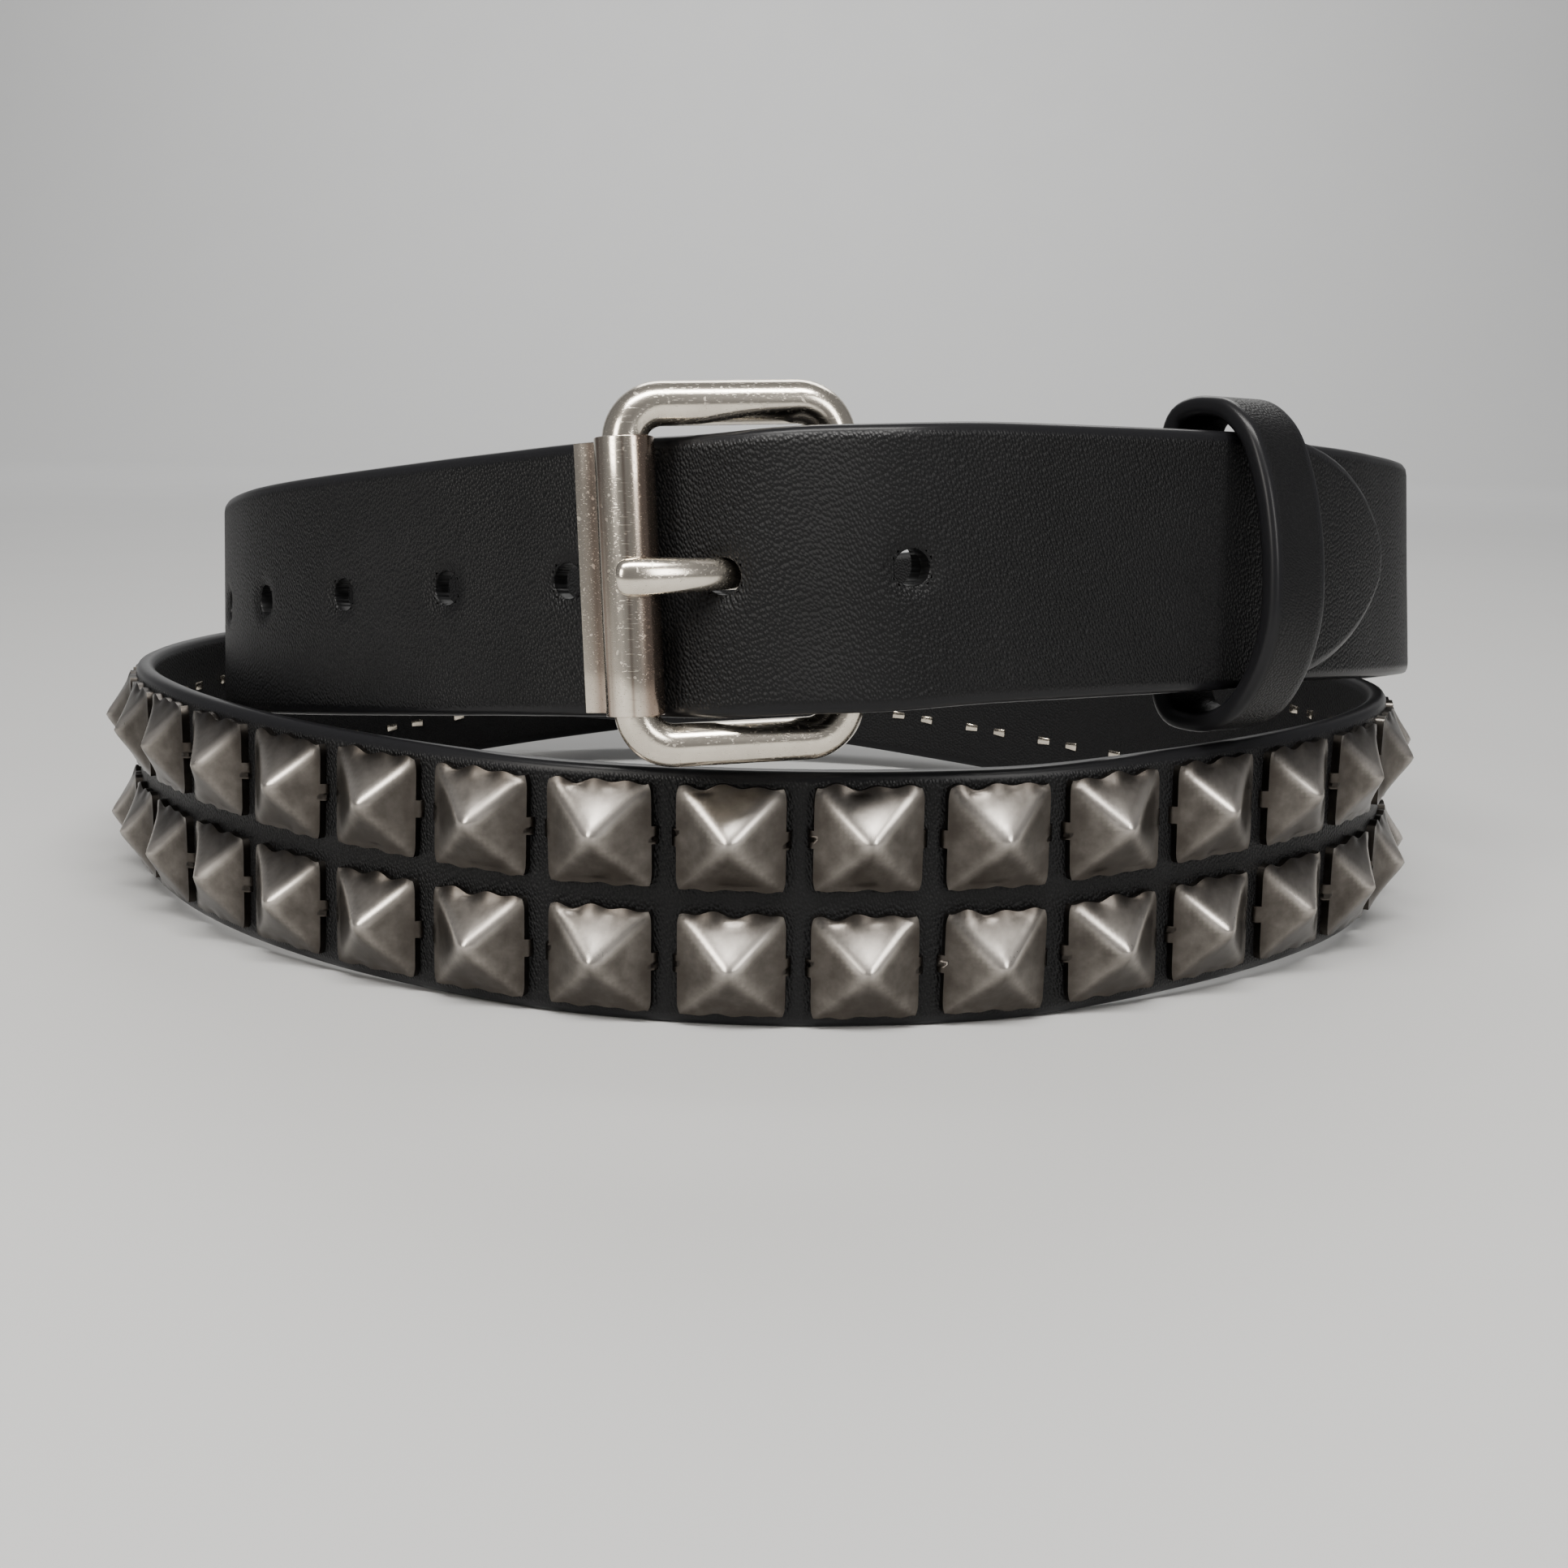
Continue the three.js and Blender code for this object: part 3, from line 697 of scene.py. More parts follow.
class BELT_OT_strap(BeltOperator, bpy.types.Operator):
    """Model the leather strap flat, with its holes, and lay it along the coil"""

    bl_idname = "belt.strap"
    bl_label = "Strap"

    columns = 660
    rows = 22
    edge_crowding = 1.8
    edge_drop = 1.15 * MM
    hole_area = 6.5 * MM
    hole_sides = 40
    rim = 0.4 * MM
    dent = 0.42 * MM
    dent_reach = 1.1 * MM
    slot_width = 6.4 * MM
    slot_reach = 12 * MM
    slot_corner = 0.45
    slot_segments = 8
    rim_segments = 3
    rim_tolerance = 0.02 * MM
    wall_share = 0.9
    hole_cuts = 3
    holes_before = 1
    holes_after = 5
    smooth_angle = 38

    def build(self, sizes, colours):
        line = StrapLine(sizes)
        first = line.length_at(PRONG_HOLE_TURN)
        numbers = range(-self.holes_before, self.holes_after + 1)
        holes = [first + i * sizes.hole_pitch for i in numbers]
        strap = self.flat_sheet(sizes, line, holes)
        self.thicken(strap, sizes, line)
        cut(strap, self.hole_cutter(sizes, holes))
        cut(strap, self.slot_cutter(line))
        self.round_rims(strap, sizes, holes)
        self.dent_rims(strap, sizes, holes)
        self.keep_flat_places(strap, sizes, line)
        self.lay(strap, line)
        leather = leather_finish("black_leather", colours, GRAIN_MM, GRAIN_DEPTH_MM)
        self.finish(strap, leather, "leather", "strap")

    def flat_sheet(self, sizes, line, holes):
        """A flat grid of the strap's outline, finer round the holes."""
        strap = add_grid("strap_leather", self.columns, self.rows, 2)
        grid = points(strap)
        x = (grid[:, 0] + 1) / 2 * line.total
        tip = x < TIP_LENGTH
        x[tip] = TIP_BLUNT + (TIP_LENGTH - TIP_BLUNT) * (x[tip] / TIP_LENGTH) ** 2
        crowded = np.sign(grid[:, 1]) * (1 - (1 - np.abs(grid[:, 1])) ** self.edge_crowding)
        y = crowded * half_width_at(x, sizes, line)
        set_points(strap, np.stack((x, y, np.zeros_like(x)), -1))
        centres = [Vector((hole, 0, 0)) for hole in holes]
        with editing(strap):
            select_where(strap, "faces", lambda face: any(
                (middle_of(face) - centre).length < self.hole_area for centre in centres))
            bpy.ops.mesh.subdivide(number_cuts=self.hole_cuts)
        return strap

    def edge_distance(self, flat, sizes, line):
        return np.minimum(half_width_at(flat[:, 0], sizes, line) - np.abs(flat[:, 1]), flat[:, 0])

    def thicken(self, strap, sizes, line):
        """Gives the sheet its thickness, which rounds off towards the edges."""
        modify(strap, "SOLIDIFY", thickness=sizes.strap_thickness, offset=0)
        flat = points(strap)
        inset = np.clip(self.edge_distance(flat, sizes, line) / sizes.edge_rounding, 0, 1)
        drop = self.edge_drop * (1 - np.sqrt(1 - (1 - inset) ** 2))
        flat[:, 2] = np.sign(flat[:, 2]) * (sizes.strap_thickness / 2 - drop)
        set_points(strap, flat)

    def hole_cutter(self, sizes, holes):
        cutters = []
        for hole in holes:
            deselect()
            bpy.ops.mesh.primitive_cylinder_add(
                vertices=self.hole_sides, radius=sizes.hole_diameter / 2,
                depth=3 * sizes.strap_thickness, location=(hole, 0, 0),
            )
            bpy.ops.object.transform_apply()
            cutters.append(added("hole_cutter"))
        return joined(cutters, "hole_cutter")

    def slot_cutter(self, line):
        """The long slot in the fold, for the prong's eye."""
        fold = math.pi * line.fold_radius
        length = fold + 2 * self.slot_reach
        deselect()
        bpy.ops.mesh.primitive_cube_add(size=1, location=(line.fold_start + fold / 2, 0, 0))
        slot = scaled("slot_cutter", (length, self.slot_width, 3 * self.slot_width))
        with editing(slot):
            select_where(slot, "edges", lambda edge: abs(
                edge.verts[0].co.z - edge.verts[1].co.z) > MM)
            offset = self.slot_width * self.slot_corner
            bpy.ops.mesh.bevel(offset=offset, segments=self.slot_segments)
        return slot

    def round_rims(self, strap, sizes, holes):
        """Softens the holes' rims."""
        radius, face = sizes.hole_diameter / 2, sizes.strap_thickness / 2

        def on_rim(vertex):
            near = min(abs(math.hypot(vertex.co.x - hole, vertex.co.y) - radius) for hole in holes)
            return max(near, abs(abs(vertex.co.z) - face)) < self.rim_tolerance

        with editing(strap):
            select_where(strap, "edges", lambda edge: all(on_rim(vertex) for vertex in edge.verts))
            bpy.ops.mesh.bevel(offset=self.rim, segments=self.rim_segments)

    def dent_rims(self, strap, sizes, holes):
        """Presses the leather down round each hole, as a punch leaves it."""
        flat = points(strap)
        for hole in holes:
            away = np.hypot(flat[:, 0] - hole, flat[:, 1])
            beyond = np.maximum(away - sizes.hole_diameter / 2 - self.rim / 2, 0)
            pressed = self.dent * np.exp(-((beyond / self.dent_reach) ** 2))
            upper = np.clip(flat[:, 2] / (sizes.strap_thickness / 2), 0, 1)
            flat[:, 2] -= pressed * upper * (away < self.hole_area)
        set_points(strap, flat)

    def keep_flat_places(self, strap, sizes, line):
        """Keeps each vertex's flat place in millimetres, for the grain and the painted edges."""
        flat = points(strap)
        store(strap, "flat", flat / MM)
        wall = sizes.strap_thickness / 2 - self.edge_drop * self.wall_share
        edge = np.where(np.abs(flat[:, 2]) < wall, 0, self.edge_distance(flat, sizes, line))
        store(strap, "edge", edge / MM)
        store(strap, "lining", (flat[:, 2] < -sizes.strap_thickness / 4).astype(float))

    def lay(self, strap, line):
        """Moves every vertex from its flat place to its place on the coil."""
        flat = points(strap)
        middle, _, out, up = np.moveaxis(line.at(flat[:, 0]), 1, 0)
        set_points(strap, middle + out * flat[:, 2:3] - up * flat[:, 1:2])


class BELT_OT_studs(BeltOperator, bpy.types.Operator):
    """Model one pyramid stud and set copies of it along the strap in two rows"""

    bl_idname = "belt.studs"
    bl_label = "Pyramid studs"

    cells = 24
    skirt = 1.0 * MM
    sink = 0.6 * MM
    ridge_round = 0.15
    top_round = 0.075
    hollow = 1.24
    crimp = 0.32 * MM
    crimp_reach = 0.2
    corner_reach = 0.3
    corner_trim = 0.05
    tab_width = 0.14
    tab_length = 0.7 * MM
    tab_top = 0.3 * MM
    hem_lift = 1.6
    variants = 6
    seed = 17
    turn_degrees = 0.9
    slip_mm = 0.12

    # Crimps along a hem, strength and pace: two uneven ones above, and two small soft ones below
    crimps = ((1, 2.9), (0.7, 1.7), (0.4, 3.7), (0.35, 2.2))

    # How wide the worn ridges and tip are, how much each is worn, and how much painted highlight
    # and shade each place gets
    ridge_width, tip_width = 0.17, 0.2
    plain_wear, facet_wear = 0.18, 0.55
    ridge_wear, upper_ridge_wear = 0.14, 0.75
    tip_wear, upper_tip_wear = 0.1, 0.4
    hem_dark, under_dark = 0.16, 0.12

    def build(self, sizes, colours):
        line = StrapLine(sizes)
        face = sizes.strap_thickness / 2
        chance = np.random.default_rng(self.seed)
        models = [self.one_stud(sizes, chance) for _ in range(self.variants)]
        copies = []
        for length in line.stud_lengths(sizes):
            middle, along, out, up = line.at([length])[0]
            for side in (-1, 1):
                model = models[chance.integers(self.variants)]
                shape = points(model)
                copy = copy_of(model)
                turn = math.radians(chance.uniform(-self.turn_degrees, self.turn_degrees))
                slip = chance.uniform(-self.slip_mm, self.slip_mm, 2) * MM
                x = shape[:, :1] * math.cos(turn) - shape[:, 1:2] * math.sin(turn) + slip[0]
                y = shape[:, :1] * math.sin(turn) + shape[:, 1:2] * math.cos(turn) + slip[1]
                y = y + side * sizes.stud_rows / 2
                set_points(copy, middle + along * x + out * (shape[:, 2:3] + face) - up * y)
                copies.append(copy)
        for model in models:
            bpy.data.objects.remove(model)
        studs = joined(copies, "pyramid_studs")
        self.finish(studs, stud_finish(colours), "stud_metal", "strap")

    def one_stud(self, sizes, chance):
        """A pressed pyramid with soft ridges, hollow sides, crimped hems and small side tabs."""
        deselect()
        stud = add_grid("one_stud", self.cells, self.cells, 2)
        grid = points(stud)
        u, v = grid[:, 0], grid[:, 1]
        a, b = np.abs(u), np.abs(v)
        square = np.maximum(a, b)
        ridged = (a + b + np.sqrt((a - b) ** 2 + self.ridge_round**2)) / 2
        rounded = np.sqrt(np.minimum(ridged, 1) ** 2 + self.top_round**2)
        steep = np.where(square > 0.999, square, rounded)
        rise = np.clip(1 - steep, 0, 1) ** self.hollow
        z = self.skirt + (sizes.stud_height - self.skirt) * rise
        hem = np.clip((b - 1 + self.crimp_reach) / self.crimp_reach, 0, 1)
        upper = np.clip(0.5 - 4 * v, 0, 1)
        wave = self.hem_wave(math.pi * u, upper, chance.uniform(0, 2 * math.pi, 4)) * (1 - a**6)
        corner = np.clip((a + b - 2 + self.corner_reach) / self.corner_reach, 0, 1) ** 2
        half = sizes.stud_base / 2 * (1 - self.corner_trim * corner)
        y = v * half + np.sign(v) * self.crimp * (wave * hem**2 - hem * (1 - a**6))
        z = z + self.crimp * wave * hem * (1 - hem) * self.hem_lift
        set_points(stud, np.stack((u * half, y, z), -1))
        store(stud, "wear", self.wear(a, b, v, square, upper))
        with editing(stud):
            self.skirts(stud, sizes.stud_base / 2)
        tidy_normals(stud)
        return stud

    def wear(self, a, b, v, square, upper):
        """Worn ridges and tip, with a painted highlight above and painted shade at the hem and
        below.
        """
        ridge = np.exp(-(((a - b) / self.ridge_width) ** 2))
        ridge = ridge * np.clip(square * 4, 0, 1) * np.clip(1.2 - square, 0, 1)
        tip = np.exp(-((square / self.tip_width) ** 2))
        # Upper face near the tip, for a painted highlight
        over = np.clip((-v - a) * 3, 0, 1) * (1 - square)
        # Lower face, for painted shade
        under = np.clip((v - a) * 3, 0, 1)
        # Real wear on every ridge and the tip, plus a painted highlight on the upper side
        wear = self.plain_wear + ridge * (self.ridge_wear + self.upper_ridge_wear * upper)
        wear = wear + tip * (self.tip_wear + self.upper_tip_wear * upper) + self.facet_wear * over
        # Painted shade at the hem and on the lower face
        return np.clip(wear - self.hem_dark * square**3 - self.under_dark * under, 0, 1)

    def hem_wave(self, angle, upper, phases):
        waves = [
            strength * np.cos(pace * angle + phase)
            for (strength, pace), phase in zip(self.crimps, phases)
        ]
        return (waves[0] + waves[1]) * upper + (waves[2] + waves[3]) * (1 - upper)

    def skirts(self, stud, half):
        """Turns the edges down into the leather, closes the underside and adds the side tabs."""
        bpy.ops.mesh.select_mode(type="EDGE")
        bpy.ops.mesh.select_all(action="DESELECT")
        bpy.ops.mesh.select_non_manifold()
        drop = (0, 0, -(self.skirt + self.sink))
        bpy.ops.mesh.extrude_edges_move(TRANSFORM_OT_translate={"value": drop})
        bpy.ops.mesh.edge_face_add()
        select_where(stud, "faces", lambda face: abs(face.normal.x) > 0.9
                     and abs(middle_of(face).y) < self.tab_width * half)
        bpy.ops.mesh.extrude_faces_move(TRANSFORM_OT_shrink_fatten={"value": self.tab_length})
        shape = bmesh.from_edit_mesh(stud.data)
        for vertex in shape.verts:
            if abs(vertex.co.x) > half + self.tab_length / 2:
                vertex.co.z = min(vertex.co.z, self.tab_top)
        bmesh.update_edit_mesh(stud.data)


class BELT_OT_stud_prongs(BeltOperator, bpy.types.Operator):
    """Model one bent prong and set two behind each stud, on the strap's inner face"""

    bl_idname = "belt.stud_prongs"
    bl_label = "Stud prongs"

    long, wide, thick = 3 * MM, 1.9 * MM, 0.7 * MM
    from_middle = 3.6 * MM
    bite = 0.25 * MM
    heel = 0.25 * MM
    soft_edge = 0.25 * MM
    taper = 0.8
    smooth_angle = 40

    def build(self, sizes, colours):
        line = StrapLine(sizes)
        model = self.one_prong()
        shape = points(model)
        behind = sizes.strap_thickness / 2
        copies = []
        for length in line.stud_lengths(sizes):
            for row in (-1, 1):
                for side in (-1, 1):
                    copy = copy_of(model)
                    flat = shape * (side, side, 1)
                    at = line.at(length + side * self.from_middle + flat[:, 0])
                    middle, _, out, up = np.moveaxis(at, 1, 0)
                    y = flat[:, 1:2] + row * sizes.stud_rows / 2
                    set_points(copy, middle - out * (behind - flat[:, 2:3]) - up * y)
                    copies.append(copy)
        bpy.data.objects.remove(model)
        prongs = joined(copies, "stud_prongs")
        self.finish(prongs, nickel_finish(colours), "stud_metal", "strap")

    def one_prong(self):
        """A short strip that comes out of the leather and lies down on it."""
        deselect()
        bpy.ops.mesh.primitive_cube_add(size=1, location=(0, 0, 0))
        prong = scaled("one_prong", (self.long, self.wide, self.thick))
        with editing(prong):
            select_where(prong, "verts", lambda vertex: vertex.co.x < 0)
            bpy.ops.transform.resize(value=(1, self.taper, 1))
            bpy.ops.mesh.select_all(action="SELECT")
            bpy.ops.mesh.bevel(offset=self.soft_edge, segments=2)
        places = points(prong)
        places[:, 2] += self.bite - self.thick / 2
        places[:, 2] += (places[:, 0] < 0) * self.heel
        set_points(prong, places)
        return prong


class BELT_OT_buckle_frame(BeltOperator, bpy.types.Operator):
    """Bend the buckle's wire frame from a rounded rectangle"""

    bl_idname = "belt.buckle_frame"
    bl_label = "Buckle frame"

    corner_segments = 14
    wire_resolution = 10
    smooth_angle = 60

    def build(self, sizes, colours):
        origin, width, across, up, out = buckle_axes(sizes, StrapLine(sizes))
        bpy.ops.mesh.primitive_plane_add(size=1, location=(width / 2, 0, 0))
        wire = scaled("buckle_frame_wire", (width, sizes.buckle_height - sizes.wire, 1))
        with editing(wire):
            bpy.ops.mesh.select_all(action="SELECT")
            bpy.ops.mesh.bevel(
                offset=sizes.buckle_corner, segments=self.corner_segments, affect="VERTICES",
            )
            bpy.ops.mesh.select_all(action="SELECT")
            bpy.ops.mesh.delete(type="ONLY_FACE")
        bpy.ops.object.convert(target="CURVE")
        wire.data.bevel_depth = sizes.wire / 2
        wire.data.bevel_resolution = self.wire_resolution
        bpy.ops.object.convert(target="MESH")
        wire = bpy.context.object
        wire.data.transform(axes_matrix(across, up, out, origin))
        tidy_normals(wire)
        self.finish(wire, nickel_finish(colours), "nickel", "buckle_frame")


class BELT_OT_buckle_roller(BeltOperator, bpy.types.Operator):
    """Roll the roller's tube from one sheet, with its flat lip"""

    bl_idname = "belt.buckle_roller"
    bl_label = "Roller"

    sweep_degrees = 320
    steps = 64
    lip_curl = 0.35 * MM
    soft_edge = 0.14 * MM
    crease_angle = 50
    tolerance = 0.01 * MM
    smooth_angle = 40

    # Brown bands of painted reflection, in millimetres from the tube's middle: place, half width,
    # strength
    bands = (
        (-7.4, 1.5, 0.8), (-4.7, 0.45, 1), (-1.9, 0.3, 0.95), (-1.1, 0.5, 0.5), (2, 0.22, 0.6),
        (3.7, 0.9, 0.8),
    )

    def build(self, sizes, colours):
        origin, _, _, up, _ = buckle_axes(sizes, StrapLine(sizes))
        level = -station(ROLLER_TURN).along
        level = unit(level - up * level.dot(up))
        sheet_radius = (sizes.roller - sizes.roller_sheet) / 2
        roller = add_grid("buckle_roller_sheet", 8, 6, 1)
        roller.scale = (sizes.roller_lip, sizes.roller_length, 1)
        roller.location = (-sizes.roller_lip / 2, 0, -sheet_radius)
        bpy.ops.object.transform_apply()
        with editing(roller):
            select_where(roller, "edges", lambda edge: all(
                v.co.x > -self.tolerance for v in edge.verts))
            angle = math.radians(self.sweep_degrees)
            bpy.ops.mesh.spin(steps=self.steps, angle=angle, center=(0, 0, 0), axis=(0, 1, 0))
        places = points(roller)
        on_lip = places[:, 2] < -sheet_radius + self.tolerance
        beyond = np.clip(-places[:, 0] / sizes.roller_lip, 0, 1) * on_lip
        places[:, 2] += self.lip_curl * beyond**2
        set_points(roller, places)
        tidy_normals(roller)
        modify(roller, "SOLIDIFY", thickness=sizes.roller_sheet, offset=0)
        modify(
            roller, "BEVEL", width=self.soft_edge, segments=3, limit_method="ANGLE",
            angle_limit=math.radians(self.crease_angle),
        )
        across = points(roller)[:, 0] / MM
        # Paints brown reflection bands into the roller's colour
        tarnish = sum(
            strength * np.exp(-(((across - place) / wide) ** 2))
            for place, wide, strength in self.bands
        )
        store(roller, "tarnish", np.clip(tarnish, 0, 1))
        roller.data.transform(axes_matrix(level, up, np.cross(level, up), origin))
        self.finish(roller, nickel_finish(colours), "nickel", "buckle_roller")


class BELT_OT_buckle_prong(BeltOperator, bpy.types.Operator):
    """Draw the prong's arm along its rows and join it to the eye round the inner bar"""

    bl_idname = "belt.buckle_prong"
    bl_label = "Prong"

    sides = 16
    eye_segments, eye_sides = 56, 24

    def build(self, sizes, colours):
        origin, width, across, up, out = buckle_axes(sizes, StrapLine(sizes))
        prong = sweep("buckle_prong_wire", self.rings())
        modify(prong, "SUBSURF", levels=2, render_levels=2)
        eye_radius = sizes.wire / 2 + RUNNING_GAP + sizes.prong_wire / 2
        deselect()
        bpy.ops.mesh.primitive_torus_add(
            major_radius=eye_radius, minor_radius=sizes.prong_wire / 2,
            major_segments=self.eye_segments, minor_segments=self.eye_sides,
            location=(width, 0, 0), rotation=(math.pi / 2, 0, 0),
        )
        eye = added("prong_eye")
        bpy.ops.object.transform_apply()
        modify(prong, "BOOLEAN", operation="UNION", solver="EXACT", object=eye)
        bpy.data.objects.remove(eye)
        prong.data.transform(axes_matrix(across, up, out, origin))
        self.finish(prong, nickel_finish(colours), "nickel", "buckle_prong")

    def rings(self):
        rows = np.array(PRONG_ROWS) * MM
        centres = rows[:, :2]
        runs = np.gradient(centres, axis=0)
        rings = []
        for (ahead, out, wide, deep), run in zip(rows, runs):
            run = unit(run)
            ring = []
            for i in range(self.sides):
                angle = 2 * math.pi * i / self.sides
                thick, broad = deep / 2 * math.cos(angle), wide / 2 * math.sin(angle)
                ring.append(Vector((ahead - run[1] * thick, broad, out + run[0] * thick)))
            rings.append(ring)
        return rings


class BELT_OT_keeper(BeltOperator, bpy.types.Operator):
    """Carry the keeper's band round both layers of the strap"""

    bl_idname = "belt.keeper"
    bl_label = "Keeper"

    stations = 132
    corner = 1.1 * MM
    corner_steps = 4
    across_steps = 6
    curve_steps = 24

    def build(self, sizes, colours):
        here = station(KEEPER_TURN)
        line, runs, step = self.middle_line()
        section = self.section(sizes)
        rings = []
        for place, run in zip(line, runs):
            rings.append([
                Vector(here.place(across, place[0] - run[1] * deep, place[1] + run[0] * deep))
                for across, deep in section
            ])
        keeper = sweep("keeper_band", rings, closed=True)
        corners = np.array(section)[np.round(stored(keeper, "corner")).astype(int)]
        ring = stored(keeper, "ring")
        store(keeper, "flat", np.stack((ring * step, corners[:, 0], corners[:, 1]), -1) / MM)
        store(keeper, "edge", (sizes.keeper_width / 2 - np.abs(corners[:, 0])) / MM)
        store(keeper, "lining", np.zeros(len(ring)))
        grain, depth = GRAIN_MM * KEEPER_GRAIN_SIZE, GRAIN_DEPTH_MM * KEEPER_GRAIN_DEPTH
        leather = leather_finish("keeper_leather", colours, grain, depth)
        self.finish(keeper, leather, "leather", "keeper_loop")

    def section(self, sizes):
        """The band's section: across its width and through its thickness, with round corners."""
        wide, deep = sizes.keeper_width / 2, sizes.keeper_thickness / 2
        outline = []
        for x, y, start in ((1, 1, 0), (-1, 1, 90), (-1, -1, 180), (1, -1, 270)):
            centre = (x * (wide - self.corner), y * (deep - self.corner))
            for i in range(self.corner_steps + 1):
                angle = math.radians(start + 90 * i / self.corner_steps)
                outline.append((centre[0] + self.corner * math.cos(angle),
                                centre[1] + self.corner * math.sin(angle)))
            if y > 0 and x > 0 or y < 0 and x < 0:
                last = outline[-1]
                for i in range(1, self.across_steps):
                    outline.append((last[0] * (1 - 2 * i / self.across_steps), last[1]))
        return outline

    def middle_line(self):
        """Even points and directions on a closed smooth curve through the keeper's line."""
        rows = KEEPER_LINE * MM
        count = len(rows)
        dense = []
        for i in range(count):
            before, start, end, after = (rows[(i + k) % count] for k in (-1, 0, 1, 2))
            knots = [0.0]
            for a, b in ((before, start), (start, end), (end, after)):
                knots.append(knots[-1] + math.sqrt(np.linalg.norm(b - a)))
            for t in np.linspace(knots[1], knots[2], self.curve_steps, endpoint=False):
                dense.append(self.through((before, start, end, after), knots, t))
        dense = np.array(dense + [dense[0]])
        lengths = np.concatenate([[0], np.cumsum(np.linalg.norm(np.diff(dense, axis=0), axis=1))])
        even = np.linspace(0, lengths[-1], self.stations, endpoint=False)
        line = np.stack([np.interp(even, lengths, dense[:, k]) for k in (0, 1)], -1)
        runs = np.roll(line, -1, axis=0) - np.roll(line, 1, axis=0)
        return line, runs / np.linalg.norm(runs, axis=1)[:, None], lengths[-1] / self.stations

    def through(self, four, knots, t):
        """A centripetal curve's point between the second and third of four points."""
        level = list(four)
        for spans in (((0, 1), (1, 2), (2, 3)), ((0, 2), (1, 3)), ((1, 2),)):
            level = [
                (a * (knots[high] - t) + b * (t - knots[low])) / (knots[high] - knots[low])
                for (low, high), a, b in zip(spans, level, level[1:])
            ]
        return level[0]


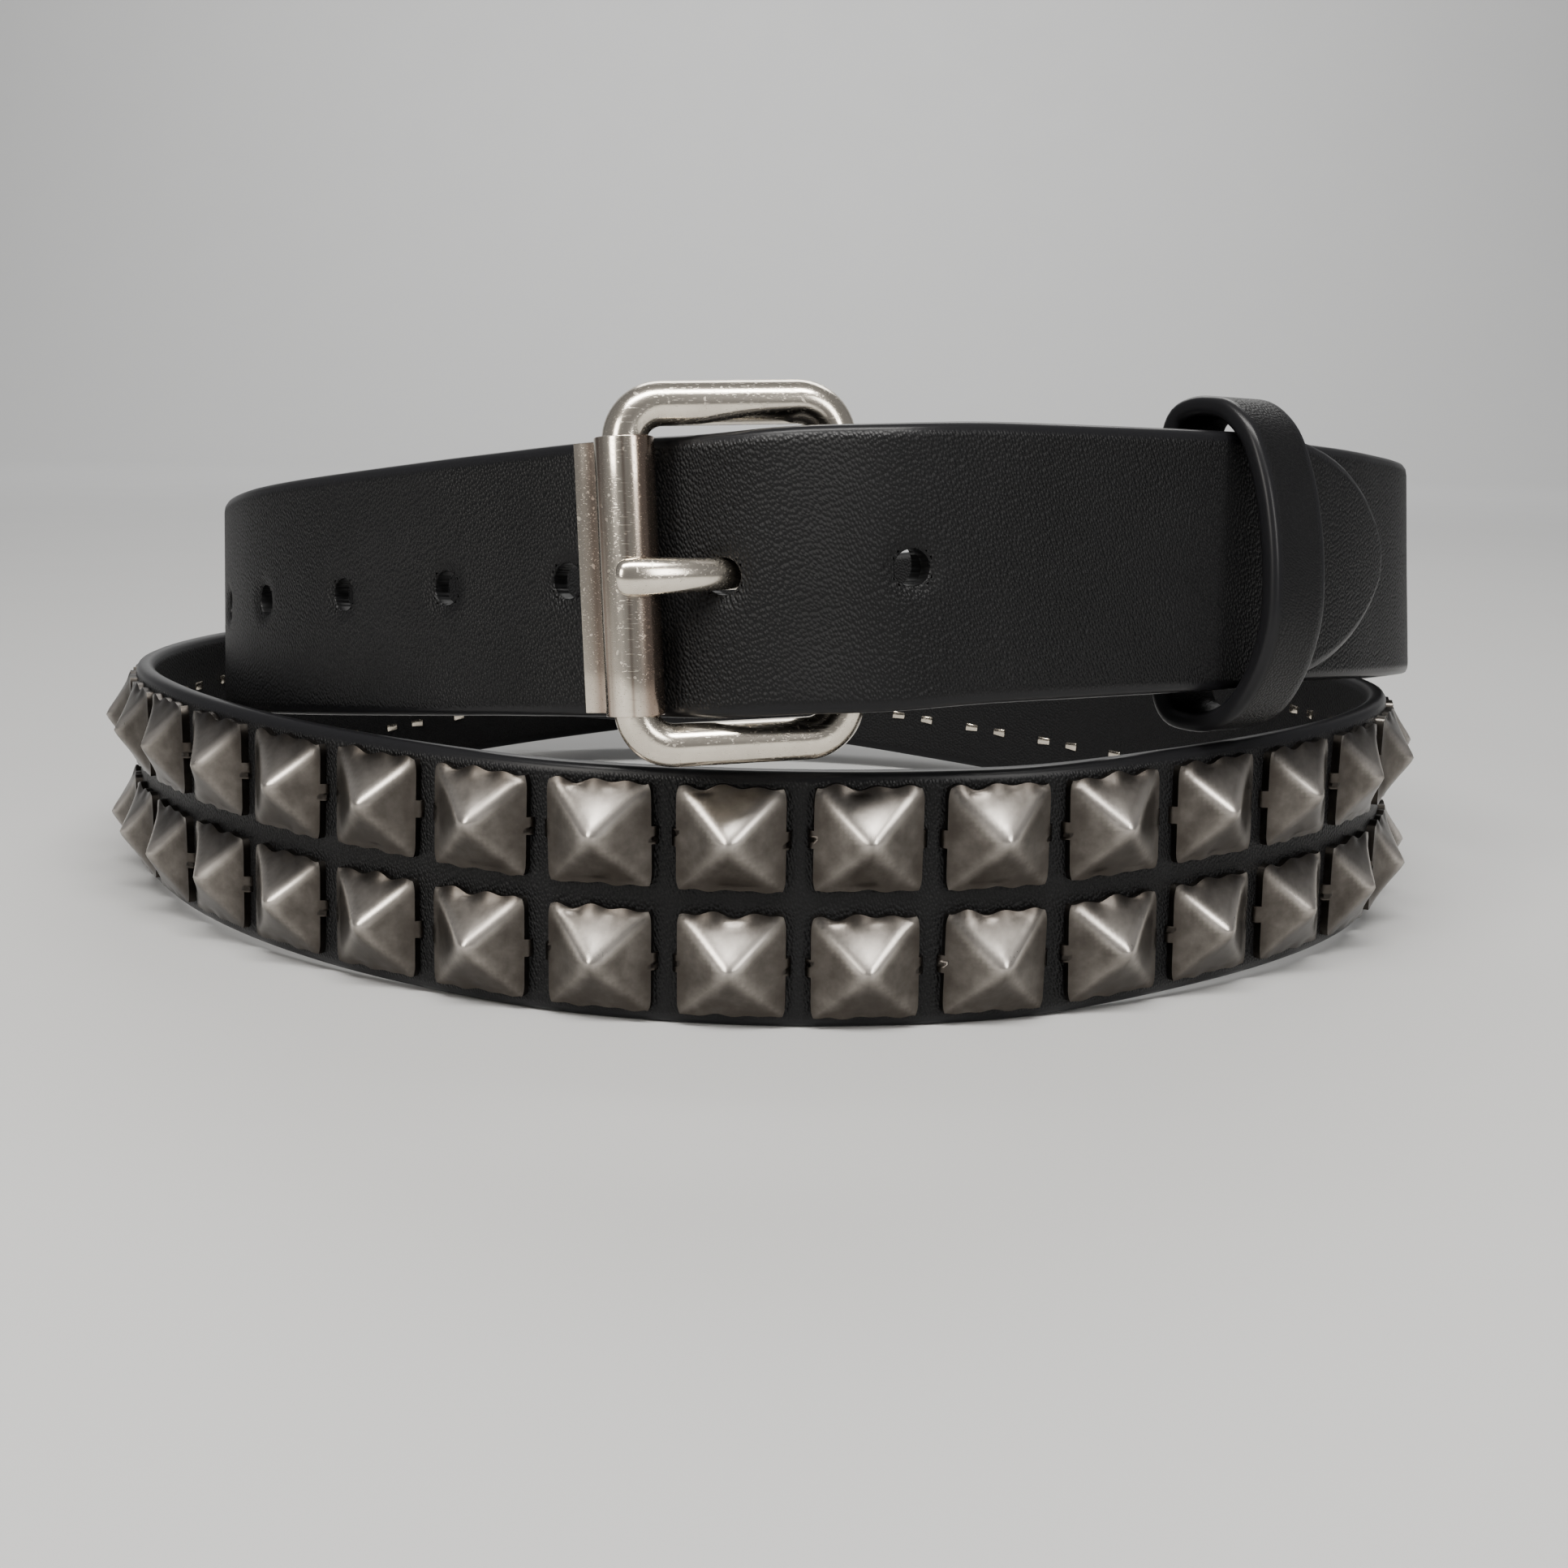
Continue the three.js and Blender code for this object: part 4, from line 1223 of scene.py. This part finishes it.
class BELT_OT_stage(BeltOperator, bpy.types.Operator):
    """Set the pale floor with its backdrop, the soft lights and the photograph's camera"""

    bl_idname = "belt.stage"
    bl_label = "Stage"

    floor_size = 9.0
    wall_distance = 3.125
    wall_height = 2.4
    sweep_radius = 0.9
    sweep_segments = 24
    smooth_angle = 60

    # Name, place, aim, width, height, power and colour of each soft light
    lights = (
        ("overhead", (0.0, -0.47, 0.8), (0, -0.08, 0.05), 0.9, 0.2, 15.0, (1.0, 0.98, 0.95)),
        ("behind", (0.1, 0.75, 0.9), (0, 0, 0.05), 1.0, 0.4, 7.0, (1.0, 0.99, 0.97)),
        ("left_front", (-0.66, -0.82, 0.45), (0, -0.05, 0.04), 0.3, 0.4, 4.5, (1.0, 0.96, 0.9)),
        ("right_front", (0.66, -0.82, 0.45), (0, -0.05, 0.04), 0.25, 0.4, 3.5, (1.0, 0.98, 0.95)),
        ("backdrop_wash", (0, 1.5, 1.9), (0, 3.1, 0.7), 2.4, 0.6, 75.0, (1.0, 1.0, 1.0)),
    )
    world_colour = (0.22, 0.22, 0.225)

    def build(self, sizes, colours):
        self.floor(colours)
        for light in self.lights:
            self.soft_light(*light)
        self.world()
        self.camera()

    def floor(self, colours):
        middle = self.wall_distance - self.floor_size / 2
        bpy.ops.mesh.primitive_plane_add(size=self.floor_size, location=(0, middle, 0))
        floor = added("floor")
        bpy.ops.object.transform_apply()
        far = max(v.co.y for v in floor.data.vertices)
        rise = (0, 0, self.wall_height)
        with editing(floor):
            select_where(floor, "edges", lambda edge: all(v.co.y > far - MM for v in edge.verts))
            bpy.ops.mesh.extrude_edges_move(TRANSFORM_OT_translate={"value": rise})
            select_where(floor, "edges", lambda edge: all(
                v.co.y > far - MM and v.co.z < MM for v in edge.verts))
            bpy.ops.mesh.bevel(offset=self.sweep_radius, segments=self.sweep_segments)
        smooth(floor, self.smooth_angle)
        floor.data.materials.append(floor_finish(colours))

    def soft_light(self, name, place, aim, width, height, power, colour):
        bpy.ops.object.light_add(type="AREA", location=place)
        light = bpy.context.object
        light.name = name
        light.data.shape = "RECTANGLE"
        light.data.size, light.data.size_y = width, height
        light.data.energy = power
        light.data.color = colour
        light.rotation_euler = (Vector(aim) - Vector(place)).to_track_quat("-Z", "Y").to_euler()

    def world(self):
        world = bpy.data.worlds.new("studio")
        world.use_nodes = True
        world.node_tree.nodes["Background"].inputs["Color"].default_value = (*self.world_colour, 1)
        bpy.context.scene.world = world

    def camera(self):
        bpy.ops.object.camera_add(location=CAMERA_PLACE)
        camera = bpy.context.object
        camera.name = "photo_camera"
        camera.data.sensor_width = SENSOR_MM
        camera.data.lens = CAMERA_FOCAL_PX / PHOTO_PX * SENSOR_MM
        camera.data.clip_start = 0.01
        pitch = Matrix.Rotation(math.pi / 2 - CAMERA_PITCH, 4, "X")
        roll = Matrix.Rotation(CAMERA_ROLL, 4, "Z")
        camera.matrix_world = Matrix.Translation(CAMERA_PLACE) @ pitch @ roll
        bpy.context.scene.camera = camera


PIECES = (
    BELT_OT_strap, BELT_OT_studs, BELT_OT_stud_prongs, BELT_OT_buckle_frame,
    BELT_OT_buckle_roller, BELT_OT_buckle_prong, BELT_OT_keeper, BELT_OT_stage,
)


class BELT_PT_panel(bpy.types.Panel):
    """The belt's sizes, colours and pieces"""

    bl_idname = "BELT_PT_panel"
    bl_label = "Studded Belt"
    bl_space_type = "VIEW_3D"
    bl_region_type = "UI"
    bl_category = "Belt"

    def draw(self, context):
        for piece in PIECES:
            self.layout.operator(piece.bl_idname)
        for group in (context.scene.belt_sizes, context.scene.belt_colours):
            box = self.layout.box()
            for key in group.__annotations__:
                box.prop(group, key)


CLASSES = (BeltSizes, BeltColours, *PIECES, BELT_PT_panel)


def register():
    for cls in CLASSES:
        bpy.utils.register_class(cls)
    bpy.types.Scene.belt_sizes = bpy.props.PointerProperty(type=BeltSizes)
    bpy.types.Scene.belt_colours = bpy.props.PointerProperty(type=BeltColours)


def unregister():
    del bpy.types.Scene.belt_colours
    del bpy.types.Scene.belt_sizes
    for cls in reversed(CLASSES):
        bpy.utils.unregister_class(cls)


def main():
    register()
    for piece in PIECES:
        group, name = piece.bl_idname.split(".")
        getattr(getattr(bpy.ops, group), name)()
    bpy.context.view_layer.update()


if __name__ == "__main__":
    main()
